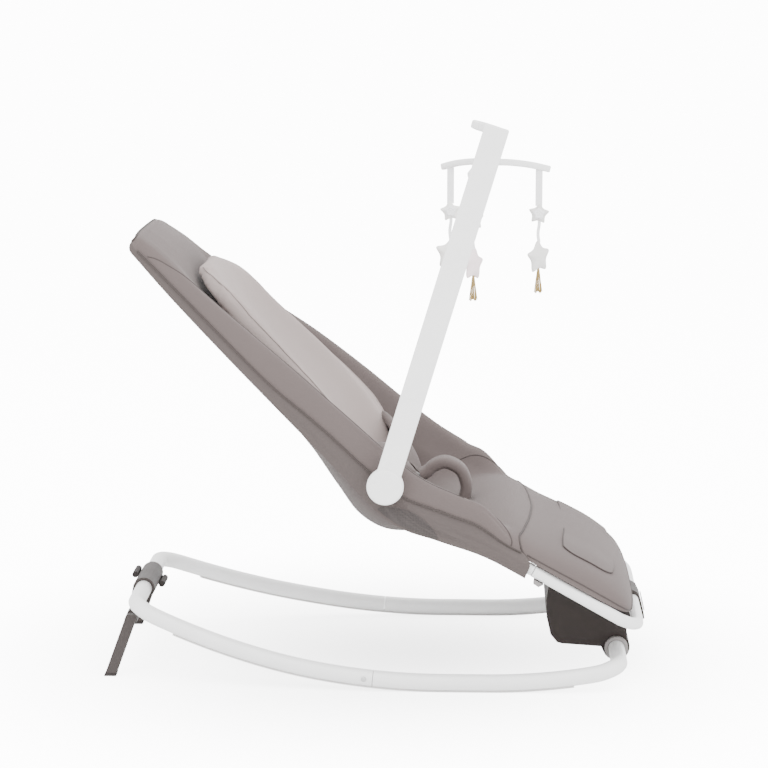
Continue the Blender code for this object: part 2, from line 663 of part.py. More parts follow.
def seat_hardware(seat):
    for side, name in ((-1, "right"), (1, "left")):
        add(f"seat_side_tube_{name}", side_tube(side), seat, white_paint())
        a, b = SEAT_LINE[-2], SEAT_LINE[-1]
        slope = Vector((b[0] - a[0], 0.0, b[1] - a[1])).normalized()
        down = Vector((slope.z, 0.0, -slope.x))
        start = Vector((a[0], side * a[2], a[1])) + slope * 0.006
        reach = SEAT_TUBE_RADIUS + 0.0008
        clip = [(0.0, reach), (0.002, reach + 0.0055), (0.0100, reach + 0.0060), (0.0140, reach)]
        outline = [((start + slope * s + down * d).x, (start + slope * s + down * d).z) for s, d in clip]
        clip = prism(outline, start.y - 0.0060, start.y + 0.0060)
        add(f"cover_clip_{name}", clip, seat, grey_plastic(), False)
    add("head_bow_tube", head_bow(), seat, white_paint())
    add("foot_bow_tube", foot_bow(), seat, white_paint())
    socket = TOY_HINGE
    disc = [(-0.0040, 0.0060), (-0.0040, 0.0190), (0.0040, 0.0190), (0.0040, 0.0060)]
    ring = turned(Vector((socket.x, ARM_Y + 0.0108, socket.z)), Y_AXIS, disc, 20)
    add("toy_bar_socket", ring, seat, grey_plastic())


# ---------------------------------------------------------------- toy bar and mobile

def toy_bar(seat):
    body = pivot("toy_bar_pivot", TOY_HINGE, seat)
    outline = []
    half = ARM_WIDTH / 2
    start = math.asin(half / DISC_RADIUS)
    for i in range(15):
        turn = start + (2 * math.pi - 2 * start) * i / 14
        forward, up = ARM_FORWARD * math.sin(turn), ARM_UP * math.cos(turn)
        outline.append(TOY_HINGE + (forward + up) * DISC_RADIUS)
    outline.append(ARM_TOP - ARM_FORWARD * half - ARM_UP * 0.0070)
    outline.append(ARM_TOP + ARM_FORWARD * half - ARM_UP * 0.0070)
    flat = [(p.x, p.z) for p in outline]
    add("toy_arm", prism(flat, ARM_Y - ARM_THICK / 2, ARM_Y + ARM_THICK / 2), body, white_plastic())
    centre = Vector((TOY_HINGE.x, ARM_Y - ARM_THICK / 2 - 0.0022, TOY_HINGE.z))
    add("toy_arm_cap", cylinder(centre, Y_AXIS, DISC_RADIUS - 0.0015, 0.0036, 24), body, white_plastic())
    add("toy_arm_pin", cylinder(Vector((TOY_HINGE.x, ARM_Y + ARM_THICK / 2 + 0.0062, TOY_HINGE.z)), Y_AXIS,
                                0.0057, 0.0110, 12), body, steel())
    thick = 0.0055
    ring = []
    radius = 0.0235
    start = math.asin(half / radius)
    for i in range(13):
        turn = start + (2 * math.pi - 2 * start) * i / 12
        ring.append(HUB + ARM_FORWARD * radius * math.sin(turn) + Y_AXIS * -radius * math.cos(turn))
    near_end = ARM_TOP - Y_AXIS * ARM_THICK / 2
    ring.append(near_end - ARM_FORWARD * half)
    ring.append(near_end + ARM_FORWARD * half)
    rings = [[p + ARM_UP * h for p in ring] for h in (-thick, thick)]
    add("toy_arm_top", loft(rings), body, white_plastic())
    stem_low, stem_high = SPINNER_Z + 0.0065, HUB.z - thick - 0.0075
    add("mobile_stem", cylinder(Vector((HUB.x, 0.0, (stem_low + stem_high) / 2)), Z_AXIS, 0.0045,
                                stem_high - stem_low, 10), body, white_plastic())
    mobile(body)


def mobile(arm):
    centre = Vector((HUB.x, 0.0, SPINNER_Z))
    body = pivot("mobile_pivot", centre, arm)
    bm = bmesh.new()
    top = []
    half = 0.0045
    for k, angle in enumerate(SPINNER_ANGLES):
        out = Vector((math.cos(math.radians(angle)), math.sin(math.radians(angle)), 0.0))
        side = Vector((-out.y, out.x, 0.0))
        for r, drop in ((0.0060, 0.0), (0.0350, 0.0012), (0.0620, 0.0050), (SPINNER_RADIUS, 0.0110)):
            top.append((k, centre + out * r - Z_AXIS * drop, side))
    rows = {}
    for k, point, side in top:
        rows.setdefault(k, []).append([bm.verts.new(point + side * s * half + Z_AXIS * h)
                                       for s, h in ((1, 0.0045), (1, -0.0045), (-1, -0.0045), (-1, 0.0045))])
    for row in rows.values():
        for a, b in zip(row, row[1:]):
            for i in range(4):
                j = (i + 1) % 4
                bm.faces.new((a[i], a[j], b[j], b[i]))
        bm.faces.new(row[-1])
    for k in range(3):
        this, following = rows[k][0], rows[(k + 1) % 3][0]
        bm.faces.new((this[0], this[1], following[2], following[3]))
    bm.faces.new([v for k in range(3) for v in (rows[k][0][3], rows[k][0][0])])
    bm.faces.new([v for k in range(3) for v in (rows[k][0][2], rows[k][0][1])])
    add("mobile_spinner", bm, body, white_plastic())
    for name, angle in zip("abc", SPINNER_ANGLES):
        toy(name, math.radians(angle), centre, body)


def toy(name, angle, centre, spinner):
    out = Vector((math.cos(angle), math.sin(angle), 0.0))
    tip = centre + out * STRAP_RADIUS - Z_AXIS * 0.0128
    body = pivot(f"toy_pivot_{name}", tip, spinner)

    def block(z_from, z_to, width, thick):
        rings = []
        for z in (z_from, z_to):
            rings.append([tip + X_AXIS * a + Y_AXIS * b + Z_AXIS * z for a, b in box_outline(width, thick)])
        return loft(rings)

    def star(z, radius, thick, facing=0.0):
        across = Vector((math.cos(math.radians(facing)), math.sin(math.radians(facing)), 0.0))
        outward = Vector((-across.y, across.x, 0.0))
        points = []
        for i in range(10):
            r = radius if i % 2 == 0 else radius * 0.52
            turn = math.pi * i / 5
            points.append(tip + across * r * math.sin(turn) + Z_AXIS * (z + r * math.cos(turn)))
        bm = bmesh.new()
        ring = [bm.verts.new(p) for p in points]
        middle = tip + Z_AXIS * z
        front = bm.verts.new(middle - outward * thick / 2)
        back = bm.verts.new(middle + outward * thick / 2)
        for i in range(10):
            j = (i + 1) % 10
            bm.faces.new((ring[i], ring[j], front))
            bm.faces.new((ring[j], ring[i], back))
        return bm

    add(f"toy_strap_{name}", block(-0.0030, -0.0420, 0.0095, 0.0020), body, toy_cloth(), smooth=False)
    add(f"toy_small_star_{name}", star(-0.0585, 0.0160, 0.0080), body, toy_cloth(), smooth=False)
    add(f"toy_large_star_{name}", star(-0.1180, 0.0255, 0.0120, TOY_FACING[name]), body, toy_cloth(), smooth=False)
    add(f"toy_tassel_{name}", block(-0.1400, -0.1680, 0.0080, 0.0030), body, toy_cloth(), smooth=False)


def main():
    clear_scene()
    root = bpy.data.objects.new("bouncer_origin", None)
    bpy.context.scene.collection.objects.link(root)
    root.location = (MIDDLE_X, MIDDLE_Y, 0.0)
    root["place"] = (0.0, 0.0, 0.0)
    base(root)
    stand(root)
    seat = pivot("seat_pivot", FRONT_BAR, root)
    seat_hardware(seat)
    housing(seat)
    release(seat)
    soft_parts(seat)
    toy_bar(seat)


main()
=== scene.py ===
"""Bouncer seat, visual model: painted tubes, moulded parts, padded fabric and a felt mobile."""

import json
from math import asin, copysign, cos, exp, hypot, pi, radians, sin, sqrt

import bmesh
import bpy
import numpy as np
from mathutils import Matrix, Vector

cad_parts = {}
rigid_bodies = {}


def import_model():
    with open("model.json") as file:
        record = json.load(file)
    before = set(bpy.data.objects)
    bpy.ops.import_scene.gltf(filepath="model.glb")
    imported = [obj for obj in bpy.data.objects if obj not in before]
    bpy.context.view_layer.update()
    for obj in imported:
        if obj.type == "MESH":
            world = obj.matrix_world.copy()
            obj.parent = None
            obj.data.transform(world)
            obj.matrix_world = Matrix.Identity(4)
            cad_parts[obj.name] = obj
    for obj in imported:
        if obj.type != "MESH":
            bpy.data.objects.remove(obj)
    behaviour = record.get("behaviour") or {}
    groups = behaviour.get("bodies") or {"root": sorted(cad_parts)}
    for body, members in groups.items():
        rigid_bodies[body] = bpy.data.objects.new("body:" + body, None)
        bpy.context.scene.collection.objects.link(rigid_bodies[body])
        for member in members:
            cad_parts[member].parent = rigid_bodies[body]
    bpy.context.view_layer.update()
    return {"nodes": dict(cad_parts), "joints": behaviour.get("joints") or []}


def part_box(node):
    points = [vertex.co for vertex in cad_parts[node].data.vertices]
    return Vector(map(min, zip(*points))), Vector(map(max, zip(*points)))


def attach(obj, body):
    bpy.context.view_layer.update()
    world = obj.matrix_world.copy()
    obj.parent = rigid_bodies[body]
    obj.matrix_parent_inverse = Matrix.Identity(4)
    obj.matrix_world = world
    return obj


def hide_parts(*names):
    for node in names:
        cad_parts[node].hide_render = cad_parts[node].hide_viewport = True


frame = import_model()

JOINTS = {joint["name"]: joint for joint in frame["joints"]}
X_AXIS, Y_AXIS, Z_AXIS = Vector((1, 0, 0)), Vector((0, 1, 0)), Vector((0, 0, 1))

# The seat's own frame, in which the tables below are given, starts where the tilt hinge says.
TILT = Vector(JOINTS["seat_tilt"]["pos_m"])
SHIFT = Vector((TILT.x - 0.325, TILT.y, 0.0))

RAIL_RADIUS = 0.011
SEAT_TUBE_RADIUS = 0.008
SHARP_ANGLE = radians(40)
SIDES = ((-1, "right"), (1, "left"))


# -------- materials

def new_material(name, **values):
    """A node material, its principled shader's sockets set from values such as roughness=0.9."""
    made = bpy.data.materials.new(name)
    made.use_nodes = True
    nodes, links = made.node_tree.nodes, made.node_tree.links
    return made, nodes, links, with_values(nodes["Principled BSDF"], **values)


def with_values(node, **values):
    """Sets a node's sockets by name, with underscores for the spaces in it."""
    for name, value in values.items():
        node.inputs[name.replace("_", " ")].default_value = value
    return node


def object_coordinates(nodes, links, scale=1.0):
    place = nodes.new("ShaderNodeTexCoord")
    scaled = with_values(nodes.new("ShaderNodeMapping"), Scale=(scale, scale, scale))
    links.new(place.outputs["Object"], scaled.inputs["Vector"])
    return scaled.outputs["Vector"]


def noise_texture(nodes, links, scale, detail):
    noise = with_values(nodes.new("ShaderNodeTexNoise"), Scale=scale, Detail=detail)
    links.new(object_coordinates(nodes, links), noise.inputs["Vector"])
    return noise.outputs["Fac"]


def ramp_between(nodes, links, factor, low, high, colours):
    """A colour that runs from the first of two to the second as the factor goes from low to high."""
    ramp = nodes.new("ShaderNodeValToRGB")
    for element, position, colour in zip(ramp.color_ramp.elements, (low, high), colours):
        element.position = position
        element.color = (*colour, 1)
    links.new(factor, ramp.inputs["Fac"])
    return ramp.outputs["Color"]


def mottled(nodes, links, colour, spread, scale, detail=4.0):
    """A colour that varies softly by `spread` either way, from 3-D noise."""
    factor = noise_texture(nodes, links, scale, detail)
    colours = [c * (1 - spread) for c in colour], [min(1.0, c * (1 + spread)) for c in colour]
    return ramp_between(nodes, links, factor, 0.3, 0.7, colours), factor


def bump_from(nodes, links, height, shader, strength, distance):
    bump = with_values(nodes.new("ShaderNodeBump"), Strength=strength, Distance=distance)
    links.new(height, bump.inputs["Height"])
    links.new(bump.outputs["Normal"], shader.inputs["Normal"])


def ranged(nodes, links, factor, to_min, to_max, **values):
    """The factor carried onto a new range."""
    spread = with_values(nodes.new("ShaderNodeMapRange"), To_Min=to_min, To_Max=to_max, **values)
    links.new(factor, spread.inputs["Value"])
    return spread


def hard_material(name, colour, rough, grain_scale, grain_depth, metallic=0.0, coat=0.0, shine=0.5):
    """Paint, plastic, rubber or steel: soft mottling, uneven gloss and a fine grain in the surface."""
    values = {"Metallic": metallic, "Coat Weight": coat, "Specular IOR Level": shine}
    made, nodes, links, shader = new_material(name, **values)
    tint, factor = mottled(nodes, links, colour, 0.02, 22.0)
    links.new(tint, shader.inputs["Base Color"])
    uneven = ranged(nodes, links, factor, rough * 0.85, min(1.0, rough * 1.15))
    links.new(uneven.outputs["Result"], shader.inputs["Roughness"])
    bump_from(nodes, links, noise_texture(nodes, links, grain_scale, 3.0), shader, 0.35, grain_depth)
    return made


def summed(nodes, links, first, second, factor=1.0):
    """first * factor + second."""
    add = nodes.new("ShaderNodeMath")
    add.operation = "MULTIPLY_ADD"
    add.inputs[1].default_value = factor
    links.new(first, add.inputs[0])
    links.new(second, add.inputs[2])
    return add.outputs["Value"]


def weave_height(nodes, links, pitch):
    """Three crossed sine waves: threads on a surface that faces any way."""
    waves = []
    for direction in ("X", "Y", "Z"):
        wave = nodes.new("ShaderNodeTexWave")
        with_values(wave, Scale=1.0 / (pitch * 20.0), Distortion=0.6, Detail_Scale=2.0)
        wave.bands_direction = direction
        links.new(object_coordinates(nodes, links, 20.0 / pi), wave.inputs["Vector"])
        waves.append(wave.outputs["Fac"])
    return summed(nodes, links, summed(nodes, links, waves[0], waves[1]), waves[2])


def cloth_material(name, colour, pitch=0.0007, fuzz=0.0):
    """Woven cloth, or felt where fuzz is above 0."""
    values = {"Sheen Weight": 0.1, "Sheen Roughness": 0.45, "Specular IOR Level": 0.15}
    made, nodes, links, shader = new_material(name, **values)
    tint, factor = mottled(nodes, links, colour, 0.025, 9.0, 6.0)
    height = weave_height(nodes, links, pitch)
    thread = ranged(nodes, links, height, 0.975, 1.02, From_Min=0.6, From_Max=2.4)
    shaded = nodes.new("ShaderNodeVectorMath")
    shaded.operation = "SCALE"
    links.new(tint, shaded.inputs[0])
    links.new(thread.outputs["Result"], shaded.inputs["Scale"])
    links.new(shaded.outputs["Vector"], shader.inputs["Base Color"])
    uneven = ranged(nodes, links, factor, 0.82, 0.97)
    links.new(uneven.outputs["Result"], shader.inputs["Roughness"])
    if fuzz:
        height = summed(nodes, links, noise_texture(nodes, links, 900.0, 5.0), height, fuzz)
    bump_from(nodes, links, height, shader, 0.3, 0.00012)
    return made


def net_material(name, colour):
    """Open spacer mesh: rows of small dark holes."""
    made, nodes, links, shader = new_material(name, Roughness=0.9, Sheen_Weight=0.2)
    cells = with_values(nodes.new("ShaderNodeTexVoronoi"), Scale=480.0, Randomness=0.15)
    links.new(object_coordinates(nodes, links), cells.inputs["Vector"])
    hole = [c * 0.62 for c in colour]
    tint = ramp_between(nodes, links, cells.outputs["Distance"], 0.3, 0.48, (hole, colour))
    links.new(tint, shader.inputs["Base Color"])
    bump_from(nodes, links, cells.outputs["Distance"], shader, 0.35, 0.0004)
    return made


PAINT = hard_material("white_paint", (0.9, 0.9, 0.895), 0.33, 700.0, 0.00006, coat=0.15)
GLOSS = hard_material("white_plastic", (0.92, 0.92, 0.915), 0.28, 1400.0, 0.00003, coat=0.1)
TAUPE = hard_material("taupe_plastic", (0.04, 0.0325, 0.0305), 0.52, 1500.0, 0.0001, shine=0.3)
DARK = hard_material("housing_plastic", (0.027, 0.021, 0.019), 0.6, 1500.0, 0.0001, shine=0.22)
GREY = hard_material("grey_plastic", (0.22, 0.205, 0.2), 0.5, 1500.0, 0.0001)
STEEL = hard_material("steel", (0.6, 0.6, 0.6), 0.28, 2500.0, 0.00002, metallic=1.0)
RUBBER = hard_material("rubber", (0.62, 0.61, 0.6), 0.8, 900.0, 0.00015)
RUBBER_DARK = hard_material("rubber_dark", (0.03, 0.025, 0.024), 0.7, 900.0, 0.00015, shine=0.25)
FABRIC = cloth_material("taupe_fabric", (0.112, 0.0915, 0.0875))
SLEEVE = cloth_material("sleeve_fabric", (0.088, 0.0735, 0.07))
BINDING = cloth_material("binding_fabric", (0.058, 0.048, 0.0455), pitch=0.0006)
LIGHT = cloth_material("light_fabric", (0.315, 0.266, 0.254))
RIM = cloth_material("rim_fabric", (0.29, 0.246, 0.235))
NET = net_material("mesh_panel", (0.052, 0.043, 0.041))
CREAM = cloth_material("toy_cream", (0.93, 0.92, 0.89), fuzz=2.0)
SILVER = cloth_material("toy_silver", (0.8, 0.79, 0.77), fuzz=2.0)
PINK = cloth_material("toy_pink", (0.93, 0.8, 0.82), fuzz=2.0)
RIBBON = cloth_material("toy_ribbon", (0.94, 0.94, 0.95), pitch=0.0006)
STRAW = cloth_material("tassel_straw", (0.38, 0.27, 0.11), pitch=0.0006)


# The finishes of each slot.
SLOT_FINISHES = {"white_paint": (PAINT,), "white_plastic": (GLOSS,), "taupe_plastic": (TAUPE, DARK),
                 "grey_plastic": (GREY,), "steel": (STEEL,), "rubber": (RUBBER, RUBBER_DARK),
                 "taupe_fabric": (FABRIC, SLEEVE, BINDING, NET), "light_fabric": (LIGHT, RIM),
                 "toy_cream": (CREAM, SILVER, RIBBON), "toy_pink": (PINK,), "tassel_straw": (STRAW,)}
SLOTS = {finish: slot for slot, finishes in SLOT_FINISHES.items() for finish in finishes}


# -------- mesh helpers

def piece(name, points, faces, body, finish, stands_for=()):
    """A new object from points in the CAD frame, riding on a body."""
    mesh = bpy.data.meshes.new(name)
    mesh.from_pydata([tuple(p) for p in points], [], faces)
    bm = bmesh.new()
    bm.from_mesh(mesh)
    bmesh.ops.recalc_face_normals(bm, faces=bm.faces)
    bm.to_mesh(mesh)
    bm.free()
    mesh.shade_smooth()
    mesh.set_sharp_from_angle(angle=SHARP_ANGLE)
    mesh.materials.append(finish)
    made = bpy.data.objects.new(name, mesh)
    bpy.context.scene.collection.objects.link(made)
    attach(made, body)
    if stands_for:
        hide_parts(*stands_for)
    return made


def loft_faces(rows, count):
    """Faces between closed rings of points, with a cap on both ends."""
    faces = []
    for i in range(rows - 1):
        for j in range(count):
            k = (j + 1) % count
            faces.append((i * count + j, i * count + k, (i + 1) * count + k, (i + 1) * count + j))
    faces.append(tuple(range(count)))
    faces.append(tuple(reversed(range((rows - 1) * count, rows * count))))
    return faces


def catmull_rom(a, b, c, d, t):
    square, cube = 2 * a - 5 * b + 4 * c - d, 3 * b - a - 3 * c + d
    return 0.5 * ((2 * b) + (c - a) * t + square * t ** 2 + cube * t ** 3)


def smooth_path(points, step):
    """A Catmull-Rom curve through the points, in steps of about the given length."""
    points = [Vector(p) for p in points]
    ends = [2 * points[0] - points[1]] + points + [2 * points[-1] - points[-2]]
    path = []
    for a, b, c, d in zip(ends, ends[1:], ends[2:], ends[3:]):
        count = max(1, round((c - b).length / step))
        for i in range(count):
            path.append(catmull_rom(a, b, c, d, i / count))
    path.append(points[-1])
    return path


def sweep_rings(path, outline, up=None, wide=None):
    """The outline at each point of a path, its width square to up, or along wide, or turning little."""
    rings = []
    normal = None
    for i, point in enumerate(path):
        tangent = (path[min(i + 1, len(path) - 1)] - path[max(i - 1, 0)]).normalized()
        if up is not None:
            side = tangent.cross(up).normalized()
        elif wide is not None:
            side = (wide - tangent * wide.dot(tangent)).normalized()
        elif normal is None:
            guess = Z_AXIS if abs(tangent.z) < 0.9 else X_AXIS
            side = tangent.cross(guess).normalized()
        else:
            side = (normal - tangent * normal.dot(tangent)).normalized()
        normal = side
        rise = side.cross(tangent) if wide is None else tangent.cross(side)
        rings.append([point + side * a + rise * b for a, b in outline])
    return rings


def oval(width, height, sides=32):
    turns = [2 * pi * i / sides for i in range(sides)]
    return [(width / 2 * sin(t), height / 2 * cos(t)) for t in turns]


def lofted(name, rings, body, finish, stands_for=()):
    points = [p for ring in rings for p in ring]
    return piece(name, points, loft_faces(len(rings), len(rings[0])), body, finish, stands_for)


def swept(name, path, outline, body, finish, stands_for=(), up=None, wide=None):
    rings = sweep_rings([Vector(p) for p in path], outline, up, wide)
    return lofted(name, rings, body, finish, stands_for)


def fabric_sheet(name, grids, finish, stands_for=()):
    """A thin closed sheet on the seat between two grids of points, the outer one first."""
    wide, high = len(grids[0][0]), len(grids[0])
    count = wide * high
    points = [p for grid in grids for row in grid for p in row]
    faces = []
    for i in range(high - 1):
        for j in range(wide - 1):
            a, b, c, d = i * wide + j, i * wide + j + 1, (i + 1) * wide + j + 1, (i + 1) * wide + j
            faces += [(a, b, c, d), (count + d, count + c, count + b, count + a)]
    edge = list(range(wide)) + [i * wide + wide - 1 for i in range(1, high)]
    edge += [(high - 1) * wide + j for j in range(wide - 2, -1, -1)]
    edge += [i * wide for i in range(high - 2, 0, -1)]
    faces += [(a, b, count + b, count + a) for a, b in zip(edge, edge[1:] + edge[:1])]
    piece(name, points, faces, "seat", finish, stands_for)


def oblong(width, height):
    return [(a * width / 2, b * height / 2) for a, b in ((-1, -1), (1, -1), (1, 1), (-1, 1))]


def rounded_oblong(width, height, width_power, height_power, sides):
    """An outline between an oval and a rectangle: the lower a power, the squarer that side."""
    outline = []
    for i in range(sides):
        across, along = cos(2 * pi * i / sides), sin(2 * pi * i / sides)
        outline.append((0.5 * width * copysign(abs(across) ** width_power, across),
                        0.5 * height * copysign(abs(along) ** height_power, along)))
    return outline


def soften(made, width, segments=4, angle=30):
    modifier = made.modifiers.new("edges", "BEVEL")
    modifier.width = width
    modifier.segments = segments
    modifier.limit_method = "ANGLE"
    modifier.angle_limit = radians(angle)


def turned(name, centre, axis, profile, body, finish, stands_for=(), sides=48):
    """A solid of revolution. The profile is (distance along the axis, radius) from end to end."""
    axis = axis.normalized()
    side = axis.orthogonal().normalized()
    spokes = [Matrix.Rotation(2 * pi * i / sides, 3, axis) @ side for i in range(sides)]
    rings = [[centre + axis * a + out * max(r, 0.00001) for out in spokes] for a, r in profile]
    return lofted(name, rings, body, finish, stands_for)


# -------- camera, light and floor

CAMERA_LENS = 126.56
CAMERA_PLACE = Vector((0.1423, -3.6575, 0.9584))
CAMERA_PITCH = radians(9.043)
CAMERA_YAW = radians(2.121)
WORLD_LIGHT, WORLD_SEEN = 2.6, 13.0
# The paper's glow dims within a reach of the floor's middle: a painted shadow under the seat.
PAPER_TONE, PAPER_GLOW, PAPER_GLOW_IN_PAINTED_SHADOW, PAINTED_SHADOW_REACH, FLOOR_REACH = 0.955, 10.5, 2.6, 0.75, 14.0


def area_light(name, place, target, size, power):
    lamp = bpy.data.lights.new(name, "AREA")
    lamp.shape = "SQUARE"
    lamp.size = size
    lamp.energy = power
    made = bpy.data.objects.new(name, lamp)
    bpy.context.scene.collection.objects.link(made)
    made.location = place
    made.rotation_euler = (Vector(target) - Vector(place)).to_track_quat("-Z", "Y").to_euler()


def stage():
    scene = bpy.context.scene
    camera = bpy.data.objects.new("camera", bpy.data.cameras.new("camera"))
    scene.collection.objects.link(camera)
    camera.data.lens = CAMERA_LENS
    camera.data.sensor_width = 36.0
    camera.data.clip_end = 50.0
    camera.location = CAMERA_PLACE + SHIFT
    camera.rotation_euler = (pi / 2 - CAMERA_PITCH, 0.0, CAMERA_YAW)
    scene.camera = camera
    world = bpy.data.worlds.new("studio")
    world.use_nodes = True
    nodes, links = world.node_tree.nodes, world.node_tree.links
    sky = with_values(nodes["Background"], Color=(1.0, 1.0, 1.0, 1.0))
    rays = nodes.new("ShaderNodeLightPath")
    seen = ranged(nodes, links, rays.outputs["Is Camera Ray"], WORLD_LIGHT, WORLD_SEEN)
    links.new(seen.outputs["Result"], sky.inputs["Strength"])
    scene.world = world
    mesh = bpy.data.meshes.new("floor")
    mesh.from_pydata([(x, y, 0) for x, y in oblong(2 * FLOOR_REACH, 2 * FLOOR_REACH)], [], [(0, 1, 2, 3)])
    mesh.materials.append(floor_paper())
    floor = bpy.data.objects.new("floor", mesh)
    scene.collection.objects.link(floor)
    area_light("key", (-0.6, -1.6, 2.9), (0.0, 0.0, 0.2), 2.4, 60.0)
    area_light("fill", (1.8, -1.4, 1.9), (0.0, 0.0, 0.3), 2.0, 20.0)
    area_light("rim", (0.2, 2.2, 2.4), (0.0, 0.0, 0.3), 2.4, 34.0)


def floor_paper():
    """Paper that the camera sees brighter than it lights the seat, least so under the seat, where the
    dimmer glow is a painted shadow.
    """
    paper, nodes, links, shader = new_material("floor_paper", Roughness=0.9)
    tint, _ = mottled(nodes, links, (PAPER_TONE, PAPER_TONE, PAPER_TONE), 0.004, 3.0)
    links.new(tint, shader.inputs["Base Color"])
    rays = nodes.new("ShaderNodeLightPath")
    painted_shadow_spread = nodes.new("ShaderNodeTexGradient")
    painted_shadow_spread.gradient_type = "SPHERICAL"
    links.new(object_coordinates(nodes, links, 1.0 / PAINTED_SHADOW_REACH), painted_shadow_spread.inputs["Vector"])
    # Dimmer glow towards the middle of the floor: a painted shadow under the seat.
    glow = ranged(nodes, links, painted_shadow_spread.outputs["Fac"], PAPER_GLOW, PAPER_GLOW_IN_PAINTED_SHADOW)
    glow.interpolation_type = "SMOOTHSTEP"
    lit = nodes.new("ShaderNodeMath")
    lit.operation = "MULTIPLY"
    links.new(rays.outputs["Is Camera Ray"], lit.inputs[0])
    links.new(glow.outputs["Result"], lit.inputs[1])
    links.new(lit.outputs["Value"], shader.inputs["Emission Strength"])
    return paper


# -------- rocking base

REAR_X, FRONT_X = -0.322, 0.325
FLAT_REAR_X, FLAT_FRONT_X = 0.09, 0.15
RAIL_LOW = RAIL_RADIUS * cos(pi / 12) + 0.0017
REAR_CURVE, FRONT_CURVE = 2.0, 1.6
RAIL_Y, REAR_BEND_Y, BEND_RADIUS, RAIL_PATH_STEP = 0.2095, 0.163, 0.04, 0.008
JOIN_Y, JOIN_GAP = 0.2075, 0.0004
SKID_FROM, SKID_TO = -0.272, 0.268
SNAP_X = -0.012
SKID_OUTLINE = ((-0.0052, -0.0008), (0.0052, -0.0008), (0.0058, 0.0012), (0.0035, 0.0022),
                (-0.0035, 0.0022), (-0.0058, 0.0012))
SNAP_DOME = ((0.0, 0.0036), (0.0016, 0.0036), (0.0024, 0.0031), (0.0029, 0.002), (0.0031, 0.0))


def rail_height(x):
    if x < FLAT_REAR_X:
        return RAIL_LOW + (x - FLAT_REAR_X) ** 2 / REAR_CURVE
    if x > FLAT_FRONT_X:
        return RAIL_LOW + (x - FLAT_FRONT_X) ** 2 / FRONT_CURVE
    return RAIL_LOW


def half_base(side):
    """One side's tube centres, from the middle of the rear crossbar to the middle of the front one."""
    r, rear_bend, front_bend = BEND_RADIUS, (0.2, 0.6, 1.0, 1.3), (0.25, 0.6, 1.0, 1.35)
    rear = [(REAR_X, 0.0), (REAR_X, REAR_BEND_Y - r - 0.015)]
    rear += [(REAR_X + r - r * cos(t), REAR_BEND_Y - r + r * sin(t)) for t in rear_bend]
    middle = [(-0.245, 0.174), (-0.18, 0.188), (-0.1, 0.201), (0.0, JOIN_Y)]
    front = [(x, RAIL_Y) for x in (FLAT_REAR_X, FLAT_FRONT_X, 0.23, FRONT_X - r - 0.01)]
    front += [(FRONT_X - r + r * sin(t), RAIL_Y - r + r * cos(t)) for t in front_bend]
    front += [(FRONT_X, RAIL_Y - r - 0.012), (FRONT_X, 0.0)]
    line = smooth_path([(x, side * y, 0.0) for x, y in rear + middle + front], RAIL_PATH_STEP)
    return [Vector((p.x, p.y, rail_height(p.x))) + SHIFT for p in line]


def base():
    round_tube = oval(2 * RAIL_RADIUS, 2 * RAIL_RADIUS, 40)
    for name, sign in (("rear_rocker", -1), ("front_rocker", 1)):
        lines = []
        for side in (-1, 1):
            line = [p for p in half_base(side) if sign * (p.x - SHIFT.x) > 0.0006]
            end = Vector((sign * JOIN_GAP, side * JOIN_Y, rail_height(0.0))) + SHIFT
            lines.append(line + [end] if sign < 0 else [end] + line)
        near, far = lines
        path = near[::-1] + far[1:] if sign < 0 else near[:-1] + far[::-1]
        swept(name, path, round_tube, "base", PAINT, (f"{name}_tube",), Z_AXIS)
    strip = [(a, b - RAIL_LOW + 0.0008) for a, b in SKID_OUTLINE]
    for side, name in SIDES:
        path = [p for p in half_base(side) if SKID_FROM <= p.x - SHIFT.x <= SKID_TO]
        swept(f"skid_{name}", path, strip, "base", RUBBER, (f"skid_strip_{name}",), Z_AXIS)
        centre = Vector((SNAP_X, side * (JOIN_Y + RAIL_RADIUS - 0.0012), rail_height(SNAP_X))) + SHIFT
        node = f"snap_button_{name}"
        turned(f"snap_pin_{name}", centre, Y_AXIS * side, SNAP_DOME, "base", STEEL, (node,), 24)


# -------- carried-over CAD pieces

def both(name):
    return f"{name}_left", f"{name}_right"


def carry(finish, bevel, *names):
    """CAD nodes that stay as they are, with their finish and softened edges."""
    for name in names:
        node = frame["nodes"][name]
        node.data.materials.clear()
        node.data.materials.append(finish)
        if bevel:
            soften(node, bevel, 3, 28)


def stand():
    carry(TAUPE, 0.0008, "stand_bridge", *both("stand_leg"), "stand_collar_upper", "stand_collar_lower")
    carry(RUBBER_DARK, 0.0008, *both("stand_knuckle"), *both("stand_foot"))


def housing():
    carry(DARK, 0.0012, "tilt_housing")
    carry(TAUPE, 0.0006, "housing_bottom_cover", "foot_bar_saddle")
    carry(TAUPE, 0.0008, "release_lever")
    carry(GREY, 0.0008, "release_lever_pad")
    carry(GREY, 0.0005, *both("hinge_bush"), *both("cover_clip"), "toy_bar_socket")
    carry(STEEL, 0.0, *both("housing_screw"), "pawl_spring", "ratchet_ring", "ratchet_pawl", "toy_arm_pin")


# -------- seat tubes

# Points (x, z) on the middle plane at the height of the seat tubes, and half the tubes' spacing there.
SEAT_LINE = ((-0.306, 0.568, 0.118), (-0.262, 0.524, 0.14), (-0.2, 0.463, 0.16), (-0.13, 0.395, 0.177),
             (-0.062, 0.331, 0.191), (-0.005, 0.279, 0.2), (0.04, 0.244, 0.204), (0.09, 0.22, 0.204),
             (0.15, 0.195, 0.204), (0.21, 0.162, 0.203), (0.315, 0.102, 0.2))


def blended(values, place):
    """Catmull-Rom through a list of numbers or tuples, read at a fractional place in it."""
    values = [np.array(v, float) for v in values]
    values = [2 * values[0] - values[1]] + values + [2 * values[-1] - values[-2]]
    i = min(max(int(np.floor(place)), 0), len(values) - 4)
    return catmull_rom(*values[i:i + 4], place - i)


